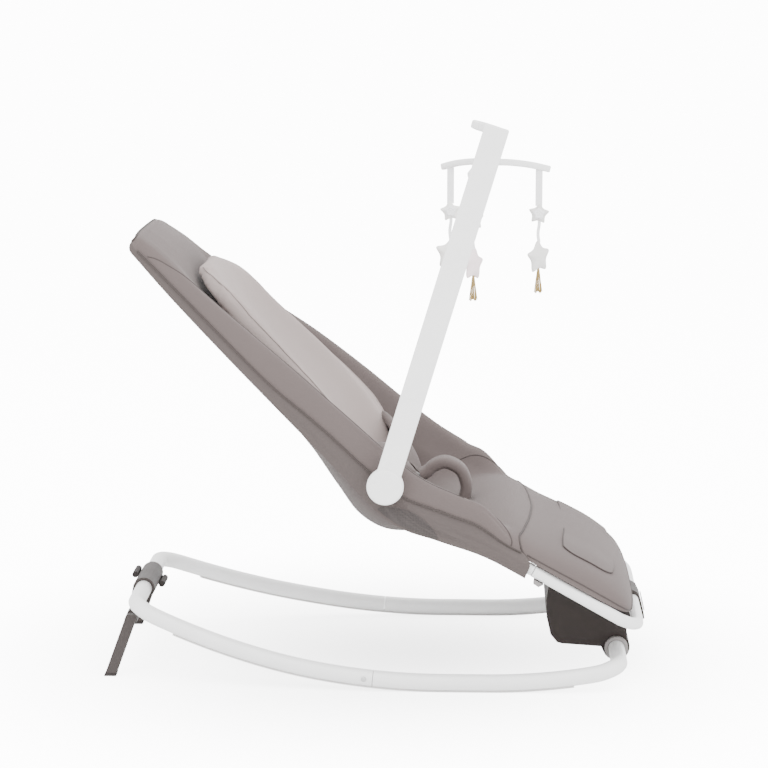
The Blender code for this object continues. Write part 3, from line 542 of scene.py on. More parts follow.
def line_at(place):
    """The seat line's point at a place, the tubes' half spacing there, and the seat's up."""
    x, z, half = blended(SEAT_LINE, place)
    ahead, behind = blended(SEAT_LINE, place + 0.02), blended(SEAT_LINE, place - 0.02)
    slope = Vector((ahead[0] - behind[0], 0.0, ahead[1] - behind[1])).normalized()
    return Vector((x, 0.0, z)), half, Vector((-slope.z, 0.0, slope.x))


def seat_point(place, y, h):
    """The point y beside the middle plane and h above the seat line."""
    point, _, up = line_at(place)
    return point + Y_AXIS * y + up * h + SHIFT


def keyed(rows, place):
    """The values after the first in each row, smoothly read at a place between the rows."""
    places = [row[0] for row in rows]
    place = min(max(place, places[0]), places[-1])
    i = max(k for k in range(len(places)) if places[k] <= place)
    i = min(i, len(places) - 2)
    t = (place - places[i]) / (places[i + 1] - places[i])
    return blended([row[1:] for row in rows], i + t)


def tilt_tubes():
    """The seat's side tubes, the head bow under the cover and the bow round the foot end."""
    round_tube = oval(2 * SEAT_TUBE_RADIUS, 2 * SEAT_TUBE_RADIUS, 36)
    carry(PAINT, 0.0, *both("seat_side_tube"), "head_bow_tube")
    ends = [Vector((x, half, z)) for x, z, half in SEAT_LINE[-2:]]
    bar = Vector((0.3497, 0.2, 0.0822))
    turn = [ends[1].lerp(bar, a) for a in (0.3, 0.65, 0.9, 1.0)]
    far = ends + [Vector((p.x, y, p.z)) for p, y in zip(turn, (0.198, 0.188, 0.17, 0.148))]
    far += [Vector((bar.x, 0.06, turn[-1].z))]
    near = [Vector((p.x, -p.y, p.z)) for p in reversed(far)]
    path = [p + SHIFT for p in smooth_path(far + near, 0.006)]
    swept("foot_bow", path, round_tube, "seat", PAINT, ("foot_bow_tube",))


# -------- seat cover

# Place along the seat line, height of the wing's crest, and height of the middle.
COVER_ROWS = ((-0.32, 0.012, 0.019), (0.0, 0.016, 0.024), (0.35, 0.019, 0.027), (0.9, 0.021, 0.022),
              (1.5, 0.024, 0.008), (2.2, 0.03, -0.006), (3.0, 0.037, -0.018), (4.0, 0.042, -0.03),
              (4.8, 0.044, -0.046), (5.4, 0.045, -0.056), (6.0, 0.046, -0.052), (6.6, 0.046, -0.03),
              (7.2, 0.046, -0.004), (7.8, 0.045, 0.02), (8.4, 0.038, 0.038), (8.78, 0.03, 0.046))
# Place, and how far the sleeve hangs under the tube.
SLEEVE_ROWS = ((-0.32, 0.011), (3.0, 0.013), (4.5, 0.016), (5.3, 0.021), (6.2, 0.022), (7.0, 0.017),
               (8.0, 0.013), (8.78, 0.012))
# Across the cover, from 0 at the sleeve's lower edge to 8 in the middle: where the foot end's seam runs.
COVER_END = ((0.0, 8.93), (1.0, 8.9), (1.5, 8.83), (2.0, 8.67), (3.0, 8.55), (4.0, 8.5), (5.0, 8.54),
             (6.0, 8.58), (7.0, 8.65), (8.0, 8.72))
# How much higher the left wing's crest stands than the right one's, and the same for the pad's left rim.
WING_LIFT = ((2.0, 0.0), (3.0, 0.008), (4.0, 0.011), (5.6, 0.011), (6.5, 0.007), (7.3, 0.0))
PAD_LIFT = ((1.06, 0.0), (2.3, 0.001), (3.0, 0.006), (3.6, 0.01), (4.4, 0.019), (4.95, 0.024), (5.6, 0.014),
            (6.55, 0.0))
# The turns of the foot cover's arch that the cover's points 2 to 8 meet there.
ARCH_POWER = 0.72
ARCH_TURNS = (0.12, 0.35, 0.55, 0.75, 0.95, 1.25, pi / 2)
# Place, half width of the foot cover's arch, and height of its middle.
FOOT_ROWS = ((8.4, 0.2105, 0.04), (8.78, 0.2105, 0.04), (9.0, 0.211, 0.0405), (9.3, 0.211, 0.044),
             (9.6, 0.2085, 0.046), (9.85, 0.204, 0.043), (10.0, 0.1985, 0.038), (10.12, 0.186, 0.03),
             (10.19, 0.166, 0.022), (10.215, 0.148, 0.015))
FOOT_LOW = SEAT_TUBE_RADIUS + 0.0016
# Place along the seat, and across it, of the cord between the sleeve and the upper panel.
PIPING = ((-0.13, 0.5), (1.5, 0.75), (2.8, 0.85), (3.7, 1.15), (4.8, 1.2), (5.7, 1.25), (6.5, 1.4),
          (7.5, 1.5), (8.1, 1.55), (8.66, 1.74))
# Two ends of each crease, how deep it is, and how wide across the cover.
CREASES = (((5.2, 1.05), (7.4, 0.35), 0.003, 0.16), ((5.7, 0.95), (8.4, 0.75), 0.0016, 0.12),
           ((2.9, 0.55), (4.6, 0.3), 0.001, 0.14), ((5.9, 4.3), (7.3, 4.9), 0.0018, 0.35),
           ((7.2, 2.3), (8.3, 3.0), 0.0012, 0.3), ((3.9, 2.1), (5.2, 2.4), 0.001, 0.22))
# Places where the cover starts and ends, and where the foot cover's rows stop following its seam.
HEAD_START, FOOT_START, FOOT_PLAIN = -0.32, 8.78, 9.6
END_START = 7.6
# How far the head's corner is rounded back, in places, at points across the cover.
HEAD_CORNER = ((0.0, 0.15), (2.0, 0.14), (4.0, 0.11), (6.0, 0.1), (8.0, 0.1), (11.0, 0.11), (12.0, 0.14),
               (13.0, 0.2), (14.0, 0.27), (15.0, 0.31), (16.0, 0.3))
# Degrees of the turn at which the rings that close the head end stand, how far it reaches, and its height.
HEAD_TURNS = (12, 26, 40, 54, 68, 80)
HEAD_REACH, HEAD_LEVEL, HEAD_CORD_TURN = 0.0125, 0.003, 66


def crease_depth(place, u):
    """Soft dents along short lines in (place, u), with a fainter fullness beside each."""
    total = 0.0
    for (p0, u0), (p1, u1), depth, wide in CREASES:
        along = (p1 - p0, u1 - u0)
        size = along[0] ** 2 + along[1] ** 2
        t = ((place - p0) * along[0] + (u - u0) * along[1]) / size
        if not -0.2 < t < 1.2:
            continue
        off = abs((place - p0) * along[1] - (u - u0) * along[0]) / sqrt(size)
        fade = max(0.0, sin(pi * (t + 0.2) / 1.4))
        beside = exp(-((off - 1.9 * wide) / wide) ** 2)
        total += depth * fade * (exp(-(off / wide) ** 2) - 0.45 * beside)
    return total


def eased(value, low, high):
    """0 below low, 1 above high, smooth between."""
    t = min(max((value - low) / (high - low), 0.0), 1.0)
    return t * t * (3 - 2 * t)


def foot_arch(place, turn):
    """(y, h) on the foot cover's arch: turn 0 is its edge on the tube, and pi / 2 its middle."""
    half, crown = keyed(FOOT_ROWS, place)
    rise = max(sin(turn), 0.0) ** ARCH_POWER
    across = copysign(abs(cos(turn)) ** ARCH_POWER, cos(turn))
    return half * across, FOOT_LOW + (crown - FOOT_LOW) * rise


def moved_towards(points, others, share):
    return [(y + (ay - y) * share, h + (ah - h) * share) for (y, h), (ay, ah) in zip(points, others)]


def cover_profile(place):
    """Control points (y, h) of one half of the cover's top, sleeve edge first, and of its underside."""
    half = line_at(place)[1]
    crest, middle = keyed(COVER_ROWS, place)
    drop = keyed(SLEEVE_ROWS, place)[0]
    wing = half - 0.02
    bed = middle if middle < 0 else middle * 0.9
    low_crest = min(crest, 0.03)
    top = [(half + 0.014, -drop), (half + 0.015, 0.006 if crest > 0.02 else 0.3 * crest),
           (half + 0.01, crest * 0.8), (half, crest), (half - 0.012, crest * 0.9),
           (wing - 0.004, min(low_crest * 0.55, 0.02) + bed * 0.15), (wing - 0.022, bed * 0.62 + 0.004),
           (half * 0.48, middle * 0.93), (0.0, middle)]
    low = [(half + 0.01, -drop + 0.001), (half + 0.0102, 0.0035), (half, 0.0088), (half - 0.0102, 0.0045),
           (half - 0.016, min(-0.004, bed * 0.3)), (wing - 0.025, bed * 0.62 - 0.006),
           (half * 0.48, middle * 0.93 - 0.008), (0.0, middle - 0.008)]
    if place < 1.2:
        least = 0.0085 - max(place, 0.0) * 0.004
        low = low[:3] + [(y, max(min(h, 0.7 * crest), least)) for y, h in low[3:]]
    pillow = 1 - eased(place, 0.5, 1.7)
    if pillow > 0:
        domed = [(y, crest + (middle - crest) * (1 - (y / half) ** 2)) for y, _ in top[4:]]
        top = top[:4] + [(y, h + (dome - h) * pillow) for (y, h), (_, dome) in zip(top[4:], domed)]
    arched = eased(place, 7.5, 8.5)
    if arched > 0:
        arch = [foot_arch(place, turn) for turn in ARCH_TURNS]
        top = top[:2] + moved_towards(top[2:], arch, arched)
        below = [(0.0102 + half, 0.0035), (half, 0.0088)] + [(y - 0.004, h - 0.008) for y, h in arch[2:]]
        low = low[:1] + moved_towards(low[1:], below, arched)
    return top, low


def mirrored(half):
    """The whole section of which half is given, as (y, h) from one edge to the middle."""
    return half + [(-y, h) for y, h in reversed(half[:-1])]


def cover_point(place, u, side=-1, lift=0.0):
    """A point on the cover's top, at a place along the seat and u across it."""
    whole = mirrored(cover_profile(place)[0])
    y, h = blended(whole, u)
    step = blended(whole, u + 0.05) - blended(whole, u - 0.05)
    point, _, up = line_at(place)
    outward = (Y_AXIS * (side * abs(step[1]) if u < 3 else 0.0) + up * abs(step[0])).normalized()
    sink = lift - crease_depth(place, u)
    if side > 0 and 1.0 < u < 6.0:
        h += keyed(WING_LIFT, place)[0] * sin(pi * (u - 1.0) / 5.0) ** 0.7
    return point + Y_AXIS * (side * y) + up * h + outward * sink + SHIFT


def moved_end(place, u):
    """Moves places near the foot end on to the seam, and rounds the head's corners."""
    if place < END_START:
        return place + keyed(HEAD_CORNER, u)[0] * (1 - eased(place, HEAD_START, 1.3))
    end = keyed(COVER_END, min(u, 16 - u))[0]
    return END_START + (place - END_START) * (end - END_START) / (FOOT_START - END_START)


def head_end(point, turn):
    """Rounds the head end off: moves a point of the first section out as the section closes."""
    start, _, up = line_at(HEAD_START)
    along = Vector((up.z, 0.0, -up.x))
    middle = start + SHIFT + up * HEAD_LEVEL
    lower = (middle - point).dot(up) * (1 - cos(turn) ** 0.8)
    narrower = (SHIFT.y - point.y) * 0.1 * (1 - cos(turn))
    return point - along * HEAD_REACH * sin(turn) + up * lower + Y_AXIS * narrower


def cover_ring(place, across):
    """A closed ring round the cover: over its top, and back along its underside."""
    ring = []
    for u in across:
        side = -1 if u <= 8 else 1
        ring.append(cover_point(moved_end(place, u), min(u, 16 - u), side))
    steps = [0.25 * i for i in range(29)]
    for side, places in ((1, steps), (-1, steps[-2::-1])):
        for v in places:
            at = moved_end(place, v * 8 / 7 if side == -1 else 16 - v * 8 / 7)
            y, h = blended(mirrored(cover_profile(at)[1]), v)
            ring.append(seat_point(at, side * y, h))
    return ring


def seat_cover():
    across = [0.125 * i for i in range(129)]
    places = [HEAD_START + 0.07 * i for i in range(131)]
    places = [p for p in places if p < FOOT_START - 0.01] + [FOOT_START]
    rings = [cover_ring(place, across) for place in places]
    first = rings[0]
    for reach in HEAD_TURNS:
        rings.insert(0, [head_end(p, radians(reach)) for p in first])
    cover = lofted("padded_seat_cover", rings, "seat", FABRIC, ("seat_cover",))
    cover.data.materials.append(SLEEVE)
    count = len(first)
    for i in range(len(rings) - 1):
        edge = keyed(PIPING, places[max(i - len(HEAD_TURNS), 0)])[0]
        for j in range(count):
            u = across[j] if j < len(across) else 0.0
            face = cover.data.polygons[i * count + j]
            face.material_index = 1 if min(u, 16 - u) < edge - 0.05 else 0


def mesh_panel(side, name):
    """The open net let into the sleeve beside the hip, a thin sheet on its surface."""
    rows, columns = 41, 13
    grids = []
    for lift in (0.0007, -0.0003):
        grid = []
        for t in (i / (rows - 1) for i in range(rows)):
            reach = 0.1 + 0.72 * sin(pi * t) ** 0.7
            spots = [0.1 + reach * j / (columns - 1) for j in range(columns)]
            grid.append([cover_point(5.5 + 1.5 * t, u, side, lift) for u in spots])
        grids.append(grid)
    fabric_sheet(f"mesh_panel_{name}", grids, NET)


def sewn_line(name, path, width, sides):
    """A round cord of the binding fabric, or a seam's raised stitches."""
    swept(name, path, oval(width, width, sides), "seat", BINDING)


def welt(name, rows, width, side, lift):
    """A sewn cord or seam line that follows the cover along a smooth run of (place, u) pairs."""
    line = []
    places = [tuple(blended(rows, 0.25 * i)) for i in range((len(rows) - 1) * 4 + 1)]
    for (p0, u0), (p1, u1) in zip(places, places[1:]):
        count = max(2, round(hypot((p1 - p0) * 3.2, (u1 - u0))) * 4)
        for i in range(count):
            t = i / count
            line.append(cover_point(p0 + (p1 - p0) * t, u0 + (u1 - u0) * t, side, lift))
    line.append(cover_point(*places[-1], side, lift))
    sewn_line(name, smooth_path(line, 0.004), width, 12)


BAND_SEAM = ((0.1, 0.8), (0.3, 1.35), (0.6, 1.9), (0.95, 2.6), (1.35, 3.05), (2.0, 3.2), (3.0, 3.1),
             (4.5, 3.05), (6.2, 3.05), (7.2, 3.05))
THIGH_SEAM = ((7.05, 5.1), (7.15, 4.8), (7.45, 4.3), (7.9, 3.9), (8.25, 3.3), (8.4, 2.4), (8.42, 1.6))
PIPING_WIDTH, BAND_SEAM_WIDTH, THIGH_SEAM_WIDTH = 0.003, 0.0014, 0.0016


def cover_seams():
    for side, name in SIDES:
        mesh_panel(side, name)
        welt(f"piping_{name}", PIPING, PIPING_WIDTH, side, 0.0011)
        welt(f"band_seam_{name}", BAND_SEAM, BAND_SEAM_WIDTH, side, -0.0001)
        welt(f"thigh_seam_{name}", THIGH_SEAM, THIGH_SEAM_WIDTH, side, 0.0001)
    top_edge = []
    for side in (-1, 1):
        for u in [0.5 + 0.25 * i for i in range(31)][::-side]:
            at = moved_end(HEAD_START, u if side == -1 else 16.0 - u)
            top_edge.append(head_end(cover_point(at, u, side, 0.0012), radians(HEAD_CORD_TURN)))
    sewn_line("piping_head", smooth_path(top_edge, 0.004), PIPING_WIDTH, 12)


# -------- soft pads

def puff(made, voxel, pressure, cap, frames=20):
    """Lets a closed pad swell as cloth under pressure, no point moving more than the cap."""
    bpy.context.view_layer.objects.active = made
    for other in bpy.context.scene.objects:
        other.select_set(False)
    made.select_set(True)
    remesh = made.modifiers.new("remesh", "REMESH")
    remesh.mode = "VOXEL"
    remesh.voxel_size = voxel
    bpy.ops.object.modifier_apply(modifier=remesh.name)
    start = np.array([v.co for v in made.data.vertices], float).reshape(-1, 3)
    cloth = made.modifiers.new("cloth", "CLOTH")
    cloth.settings.quality = 6
    cloth.settings.mass = 0.3
    cloth.settings.use_pressure = True
    cloth.settings.uniform_pressure_force = pressure
    cloth.settings.effector_weights.gravity = 0.0
    cloth.point_cache.frame_start, cloth.point_cache.frame_end = 1, frames
    scene = bpy.context.scene
    for number in range(1, frames + 1):
        scene.frame_set(number)
    evaluated = made.evaluated_get(bpy.context.evaluated_depsgraph_get())
    end = np.array([v.co for v in evaluated.data.vertices], float).reshape(-1, 3)
    made.modifiers.remove(cloth)
    scene.frame_set(1)
    move = end - start
    size = np.linalg.norm(move, axis=1)
    size[size < 1e-9] = 1e-9
    capped = start + move * (cap * np.tanh(size / cap) / size)[:, None]
    made.data.vertices.foreach_set("co", capped.astype(np.float32).ravel())
    made.data.update()
    smooth = made.modifiers.new("smooth", "SMOOTH")
    smooth.factor, smooth.iterations = 0.5, 4
    bpy.ops.object.modifier_apply(modifier=smooth.name)
    finer = made.modifiers.new("finer", "SUBSURF")
    finer.levels = finer.render_levels = 1
    made.data.shade_smooth()


# Place, half width, height of the rim and height of the middle.
INSERT_ROWS = ((1.06, 0.066, 0.037, 0.041), (1.2, 0.094, 0.042, 0.041), (1.6, 0.118, 0.047, 0.034),
               (2.1, 0.123, 0.044, 0.024), (2.8, 0.128, 0.041, 0.012), (3.6, 0.134, 0.037, 0.002),
               (4.4, 0.13, 0.024, -0.013), (4.95, 0.112, 0.006, -0.025), (5.6, 0.095, -0.01, -0.036),
               (6.15, 0.076, -0.021, -0.033), (6.55, 0.05, -0.014, -0.018))
# Place, and how far the pad's edge reaches down from its rim.
INSERT_DEPTH = ((1.0, 0.014), (1.3, 0.019), (1.7, 0.023), (3.6, 0.023), (4.4, 0.017), (5.0, 0.013),
                (6.55, 0.011))
INSERT_START, INSERT_END = 1.06, 6.55


def insert_profile(place):
    """(y, h) points of half the pad's section, over its top and back along its underside."""
    half, rim, middle = keyed(INSERT_ROWS, place)
    deep = keyed(INSERT_DEPTH, place)[0]
    bowl = middle - 0.004 * eased(place, 1.3, 2.2)
    top = [(0.0, bowl), (half * 0.45, bowl * 0.97 + rim * 0.03), (half * 0.74, bowl * 0.62 + rim * 0.38),
           (half * 0.89, rim - 0.004), (half * 0.955, rim), (half * 0.99, rim - 0.004),
           (half, rim - 0.6 * deep), (half * 0.985, rim - deep)]
    low = [(half * 0.93, rim - deep - 0.002), (half * 0.8, middle * 0.5 + rim * 0.5 - 0.016),
           (half * 0.5, middle * 0.94 + rim * 0.06 - 0.012), (0.0, middle - 0.0115)]
    return top + low


def insert_point(place, u, side):
    outline = insert_profile(place)
    before, after = reversed(outline[1:3]), reversed(outline[-3:-1])
    whole = [(-y, h) for y, h in before] + outline + [(-y, h) for y, h in after]
    y, h = blended(whole, u + 2)
    if side > 0:
        rise = keyed(PAD_LIFT, place)[0] * eased(u, 1.0, 3.6) * (1 - eased(u, 7.2, 10.0))
        y, h = y + 0.5 * rise, h + rise
    return seat_point(place, side * y, h)


def on_surface(made, point, lift):
    """The closest point on a piece's own mesh, raised along its normal."""
    inverse = made.matrix_world.inverted()
    _, place, normal, _ = made.closest_point_on_mesh(inverse @ point)
    return made.matrix_world @ (place + normal * lift)


def newborn_insert():
    rings = []
    steps = [0.25 * i for i in range(45)]
    for place in [INSERT_START, 1.09] + [1.14 + 0.09 * i for i in range(60)] + [6.51, INSERT_END]:
        ring = [insert_point(place, u, -1) for u in steps]
        rings.append(ring + [insert_point(place, u, 1) for u in reversed(steps[1:-1])])
    for end, place, reach in ((0, INSERT_START, -0.0055), (-1, INSERT_END, 0.003)):
        first = rings[end]
        point, _, up = line_at(place)
        along = Vector((up.z, 0.0, -up.x))
        level = sum(((p - point).dot(up) for p in first)) / len(first)
        for turn in (radians(d) for d in (15, 30, 45, 60, 75)):
            closer = 1 - cos(turn)
            ring = [p + along * reach * sin(turn) + Y_AXIS * ((SHIFT.y - p.y) * 0.25 * closer)
                    + up * ((level - (p - point).dot(up)) * closer) for p in first]
            rings.insert(0 if end == 0 else len(rings), ring)
    pad = lofted("newborn_pad", rings, "seat", LIGHT, ("newborn_insert",))
    puff(pad, 0.0045, 3.0, 0.004)
    pad.data.materials.clear()
    pad.data.materials.append(LIGHT)
    for side, name in SIDES:
        rim = [insert_point(place, 4.6, side) for place in np.arange(INSERT_START, 6.5, 0.1)]
        rim = [on_surface(pad, p, 0.0004) for p in rim]
        swept(f"pad_piping_{name}", smooth_path(rim, 0.004), oval(0.0022, 0.0022, 12), "seat", RIM)


def foot_point(place, turn, lift=0.0):
    """A point on the foot cover: turn runs from 0 at the near edge to pi at the far edge."""
    seam = blended_seam(min(turn, pi - turn))
    at = place
    if place <= FOOT_PLAIN:
        at = seam + (place - FOOT_START) * (FOOT_PLAIN - seam) / (FOOT_PLAIN - FOOT_START)
    y, h = foot_arch(at, turn)
    return seat_point(at, -y, h + lift * max(sin(turn), 0.0) ** 0.5)


def blended_seam(turn):
    """The place where the foot cover's seam runs, at a turn of its arch."""
    return keyed(((0.0, 8.84), *zip(ARCH_TURNS, [end for _, end in COVER_END[3:]])), turn)[0]


HEM_TURN, HEM_WIDTH = 0.1, 0.0018


def foot_cover():
    turns = [pi * i / 64 for i in range(65)]
    places = [8.74, 8.76, 8.78, 8.795, 8.81, 8.84, 8.88] + [8.95 + 0.06 * i for i in range(20)]
    rings = []
    for place in places + [10.13, 10.165, 10.19, 10.205, 10.215]:
        tuck = 0.004 * min(1.0, max(0.0, 1 - (place - 8.76) / 0.08)) ** 2
        ring = [foot_point(place, t, -tuck) for t in turns]
        far, near = ring[-1], ring[0]
        ring += [far.lerp(near, a) - Z_AXIS * 0.0006 for a in (0.02, 0.2, 0.4, 0.6, 0.8, 0.98)]
        rings.append(ring)
    cover = lofted("padded_foot_cover", rings, "seat", FABRIC, ("foot_cover",))
    seam = [foot_point(FOOT_START + 0.006, t, -0.0004) for t in turns]
    sewn_line("foot_seam", smooth_path(seam, 0.004), 0.0026, 12)
    for name, turn in (("right", HEM_TURN), ("left", pi - HEM_TURN)):
        hem = [foot_point(p, turn) for p in np.arange(8.86, 10.2, 0.06)]
        sewn_line(f"foot_hem_{name}", smooth_path(hem, 0.004), HEM_WIDTH, 10)
    hem = [foot_point(10.19, t) for t in turns[3:-3]]
    sewn_line("foot_hem_front", smooth_path(hem, 0.004), HEM_WIDTH, 10)


def patch_at(a, b):
    """The (place, turn) of a point of the sewn patch, a along and b across it, both from -1 to 1."""
    place = 9.565 + 0.285 * a * (1 - 0.1 * abs(b) ** 4)
    return place, pi / 2 + 0.78 * b * (1 - 0.13 * abs(a) ** 4)


def foot_patch():
    """A flat sewn panel on the foot cover, its lip standing up along both sides, with a stitched edge."""
    spots = [[(patch_at(a, b), abs(b)) for b in np.linspace(-1, 1, 41)] for a in np.linspace(-1, 1, 25)]
    grids = [[[foot_point(*spot, lip * eased(b, 0.2, 0.8) - 0.0002) for spot, b in row] for row in spots]
             for lip in (0.0028, 0.0)]
    fabric_sheet("sewn_patch", grids, FABRIC, ("foot_patch",))
    for name, side, start in (("right", 1, 0.22), ("left", -1, 0.85)):
        turn = [(-1.0, b) for b in np.linspace(start, 1.0, 8)]
        turn += [(a, 1.0) for a in np.linspace(-0.9, 1.0, 20)]
        turn += [(1.0, b) for b in np.linspace(0.95, 0.6, 5)]
        edge = [foot_point(*patch_at(a, -b * side), 0.0012 * eased(b, 0.2, 0.8)) for a, b in turn]
        sewn_line(f"patch_edge_{name}", smooth_path(edge, 0.003), HEM_WIDTH, 10)


# Middles of the crotch strap and of a waist belt, the belt's y for the left one.
STRAP_LINE = ((0.1175, 0.0, 0.212), (0.1185, 0.0, 0.22), (0.1205, 0.0, 0.237), (0.112, 0.0, 0.258),
              (0.092, 0.0, 0.268), (0.076, 0.0, 0.263), (0.0675, 0.0, 0.2555), (0.0585, 0.0, 0.2505))
BELT_LINE = ((0.048, 0.017, 0.249), (0.046, 0.024, 0.2505), (0.034, 0.06, 0.279), (0.017, 0.11, 0.297),
             (0.002, 0.148, 0.299), (-0.004, 0.166, 0.293))
PAD_WIDTH, PAD_THICKNESS, STRAP_EDGE = 0.036, 0.0165, 0.0166


def belts():
    path = [p + SHIFT for p in smooth_path(STRAP_LINE, 0.003)]
    soft = rounded_oblong(PAD_WIDTH, PAD_THICKNESS, 0.5, 0.8, 32)
    nodes = ("crotch_strap",)
    strap = swept("padded_crotch_strap", path, soft, "seat", FABRIC, nodes, wide=Y_AXIS)
    for side, name in SIDES:
        sewn_line(f"strap_binding_{name}", [p + Y_AXIS * side * STRAP_EDGE for p in path], 0.0024, 10)
    along = Vector((0.62, 0.0, -0.78)).normalized()
    soft = [(a * 1.15, b * 0.8) for a, b in soft]
    for side, name in SIDES:
        path = [p + SHIFT for p in smooth_path([(x, side * y, z) for x, y, z in BELT_LINE], 0.004)]
        nodes = (f"waist_belt_{name}",)
        belt = swept(f"padded_waist_belt_{name}", path, soft, "seat", FABRIC, nodes, wide=along)
    carry(GREY, 0.0012, "harness_buckle")


# -------- toy bar and mobile

LEAN = radians(17)
ARM_UP = Vector((sin(LEAN), 0.0, cos(LEAN)))
ARM_FORWARD = Vector((cos(LEAN), 0.0, -sin(LEAN)))
HINGE = Vector(JOINTS["toy_bar_swing"]["pos_m"])
ARM_TOP = HINGE + ARM_UP * 0.48
SPIN = Vector(JOINTS["mobile_spin"]["pos_m"])
HUB_AHEAD, HUB_RISE = -0.0098, -0.012
ARM_HALF, ARM_THICK, TOP_THICK = 0.016, 0.011, 0.011
KNOB_DOME = ((0.0, 0.0226), (0.002, 0.0226), (0.0031, 0.0218), (0.0038, 0.02), (0.0041, 0.015),
             (0.0042, 0.0))
SPINNER_ARM = ((0.0, 0.0), (0.015, 0.0001), (0.035, 0.0012), (0.062, 0.005), (0.087, 0.011))
SPINNER_HUB = ((-0.0052, 0.0), (-0.0052, 0.0085), (-0.0035, 0.0105), (0.003, 0.0105), (0.0046, 0.0088),
               (0.005, 0.0))


def round_end(centre, ahead, radius, count):
    """The round end of a bar as wide as the arm, open towards `ahead`, where the bar runs on."""
    start = asin(ARM_HALF / radius)
    turns = [start + 2 * (pi - start) * i / count for i in range(count + 1)]
    return [centre + (ARM_FORWARD * sin(t) + ahead * cos(t)) * radius for t in turns]


def toy_bar():
    edge = ARM_FORWARD * ARM_HALF
    tip = ARM_TOP + ARM_UP * 0.0056
    ring = round_end(HINGE, ARM_UP, 0.024, 48) + [tip - edge, tip + edge]
    rings = [[Vector((p.x, HINGE.y + y, p.z)) for p in ring] for y in (-ARM_THICK / 2, ARM_THICK / 2)]
    soften(lofted("toy_bar_arm", rings, "toy_bar", GLOSS, ("toy_arm",)), 0.003, 5)
    turned("toy_bar_knob", HINGE - Y_AXIS * ARM_THICK / 2, -Y_AXIS, KNOB_DOME, "toy_bar", GLOSS,
           ("toy_arm_cap",), 64)
    hub = Vector((ARM_TOP.x + HUB_AHEAD, SPIN.y, ARM_TOP.z + HUB_RISE))
    near = Vector((ARM_TOP.x, HINGE.y - 0.002, ARM_TOP.z))
    ring = round_end(hub, -Y_AXIS, 0.0235, 40) + [near - edge, near + edge]
    rings = [[p + ARM_UP * h for p in ring] for h in (-TOP_THICK / 2, TOP_THICK / 2)]
    soften(lofted("toy_bar_top", rings, "toy_bar", GLOSS, ("toy_arm_top",)), 0.0022, 4)
    low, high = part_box("mobile_stem")
    tall = high.z - low.z
    profile = [(0.0, 0.0044), (0.3 * tall, 0.0042), (0.8 * tall, 0.0044), (tall, 0.0062)]
    turned("spinner_stem", Vector((SPIN.x, SPIN.y, low.z)), Z_AXIS, profile, "toy_bar", GLOSS,
           ("mobile_stem",), 32)


def spinner():
    soft = rounded_oblong(0.01, 0.0092, 0.5, 0.5, 24)
    for name, angle in (("a", 15.0), ("b", 135.0), ("c", 255.0)):
        out = Vector((cos(radians(angle)), sin(radians(angle)), 0.0))
        path = smooth_path([SPIN + out * reach - Z_AXIS * drop for reach, drop in SPINNER_ARM], 0.004)
        nodes = ("mobile_spinner",) if name == "a" else ()
        arm = swept(f"spinner_arm_{name}", path, soft, "mobile", GLOSS, nodes, wide=Z_AXIS.cross(out))
        soften(arm, 0.001, 3, 50)
    turned("spinner_hub", SPIN, Z_AXIS, SPINNER_HUB, "mobile", GLOSS, (), 40)


# Scale and height of a star's rings, from the middle of its face to its edge.
STAR_FACE = [(0.02, 0.5), (0.25, 0.485), (0.5, 0.44), (0.72, 0.35), (0.88, 0.22), (0.97, 0.1)]
STAR_WAIST = 0.56
ROSETTE = ((0.0006, 0.0006), (0.002, 0.0012), (0.003, 0.0004), (0.0046, 0.0014), (0.0064, 0.0008),
           (0.0072, -0.0004), (0.006, -0.0012), (0.0006, -0.0012))
# Name, finishes and turns of the large and the small star, and where the large one faces.
TOYS = (("a", SILVER, SILVER, -0.08, 0.1, 48.0), ("b", CREAM, CREAM, 0.1, -0.12, -20.0),
        ("c", PINK, CREAM, 0.1, -0.12, 58.0))
SMALL_DROP, LARGE_DROP = 0.0585, 0.118


def star_mesh(name, centre, radius, thick, body, finish, turn_by, facing=0.0):
    """A stuffed five-pointed star: a dense outline with a crowned face on each side."""
    across = Vector((cos(radians(facing)), sin(radians(facing)), 0.0))
    front = across.cross(Z_AXIS)
    outline = []
    for i in range(10):
        reach = radius if i % 2 == 0 else radius * STAR_WAIST
        turn = pi * i / 5 + turn_by
        outline.append(across * (reach * sin(turn)) + Z_AXIS * (reach * cos(turn)))
    edge = [a.lerp(b, k / 5) for a, b in zip(outline, outline[1:] + outline[:1]) for k in range(5)]
    n = len(edge)
    edge = [(edge[i - 2] + edge[i - 1] * 2 + edge[i] * 3 + edge[(i + 1) % n] * 2 + edge[(i + 2) % n]) / 9
            for i in range(n)]
    section = STAR_FACE + [(1.0, 0.0)] + [(scale, -height) for scale, height in reversed(STAR_FACE)]
    rings = [[centre + p * scale + front * (thick * height) for p in edge] for scale, height in section]
    lofted(name, rings, body, finish, (f"toy_{name}",))


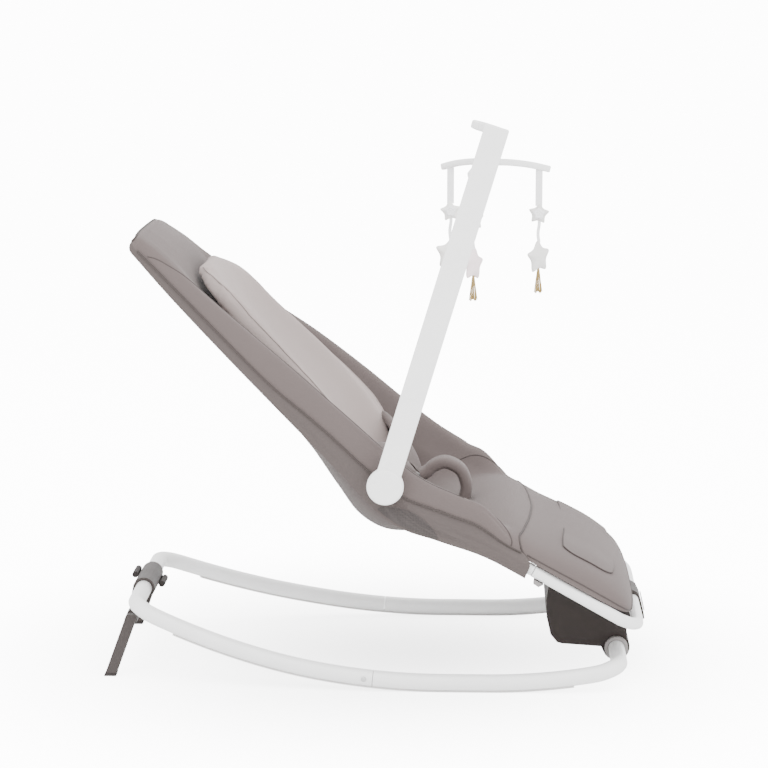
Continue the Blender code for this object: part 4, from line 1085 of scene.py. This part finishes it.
def rosette(name, centre, body):
    """A small gathered flower of felt: petals round a button."""
    rings = []
    for reach, height in ROSETTE:
        ring = []
        for turn in (2 * pi * i / 40 for i in range(40)):
            r = reach * (1 + 0.13 * cos(5 * turn) * min(1.0, reach / 0.005))
            ring.append(centre + X_AXIS * r * sin(turn) + Z_AXIS * r * cos(turn) - Y_AXIS * height)
        rings.append(ring)
    lofted(name, rings, body, RIBBON)


def toys():
    for name, large, small, large_turn, small_turn, facing in TOYS:
        tip = Vector(JOINTS[f"toy_swing_{name}"]["pos_m"])
        body = f"toy_{name}"
        strap = [tip + Z_AXIS * z for z in (0.0016, -0.014, -0.028, -0.048)]
        nodes = (f"toy_strap_{name}",)
        swept(f"ribbon_top_{name}", strap, oblong(0.0096, 0.0018), body, RIBBON, nodes, Y_AXIS)
        middle, low = tip - Z_AXIS * SMALL_DROP, tip - Z_AXIS * LARGE_DROP
        star_mesh(f"small_star_{name}", middle, 0.016, 0.008, body, small, small_turn)
        bow = [tip + Vector((0.0008 * sin(z * 200), 0.0008 * cos(z * 160), -z))
               for z in np.arange(0.066, 0.1, 0.002)]
        swept(f"ribbon_low_{name}", bow, oblong(0.0044, 0.0014), body, RIBBON, (), Y_AXIS)
        star_mesh(f"large_star_{name}", low, 0.0255, 0.012, body, large, large_turn, facing)
        rosette(f"rosette_{name}", middle - Y_AXIS * 0.004, body)
        for i in range(9):
            spread = (i - 4) / 4
            root = tip + Vector((0.0008 * spread, 0.0006 * cos(i * 2.1), -0.132))
            long = 0.1665 + 0.0012 * sin(i * 1.3)
            end = tip + Vector((0.0052 * spread, 0.0012 * cos(i * 1.7), -long))
            bend = X_AXIS * 0.0004 * sin(i * 2.3)
            thread = smooth_path([root, root.lerp(end, 0.5) + bend, end], 0.004)
            nodes = (f"toy_tassel_{name}",) if i == 0 else ()
            swept(f"tassel_{name}_{i}", thread, oval(0.0017, 0.0013, 6), body, STRAW, nodes)


base()
stand()
housing()
tilt_tubes()
seat_cover()
cover_seams()
newborn_insert()
foot_cover()
foot_patch()
belts()
toy_bar()
spinner()
toys()
stage()
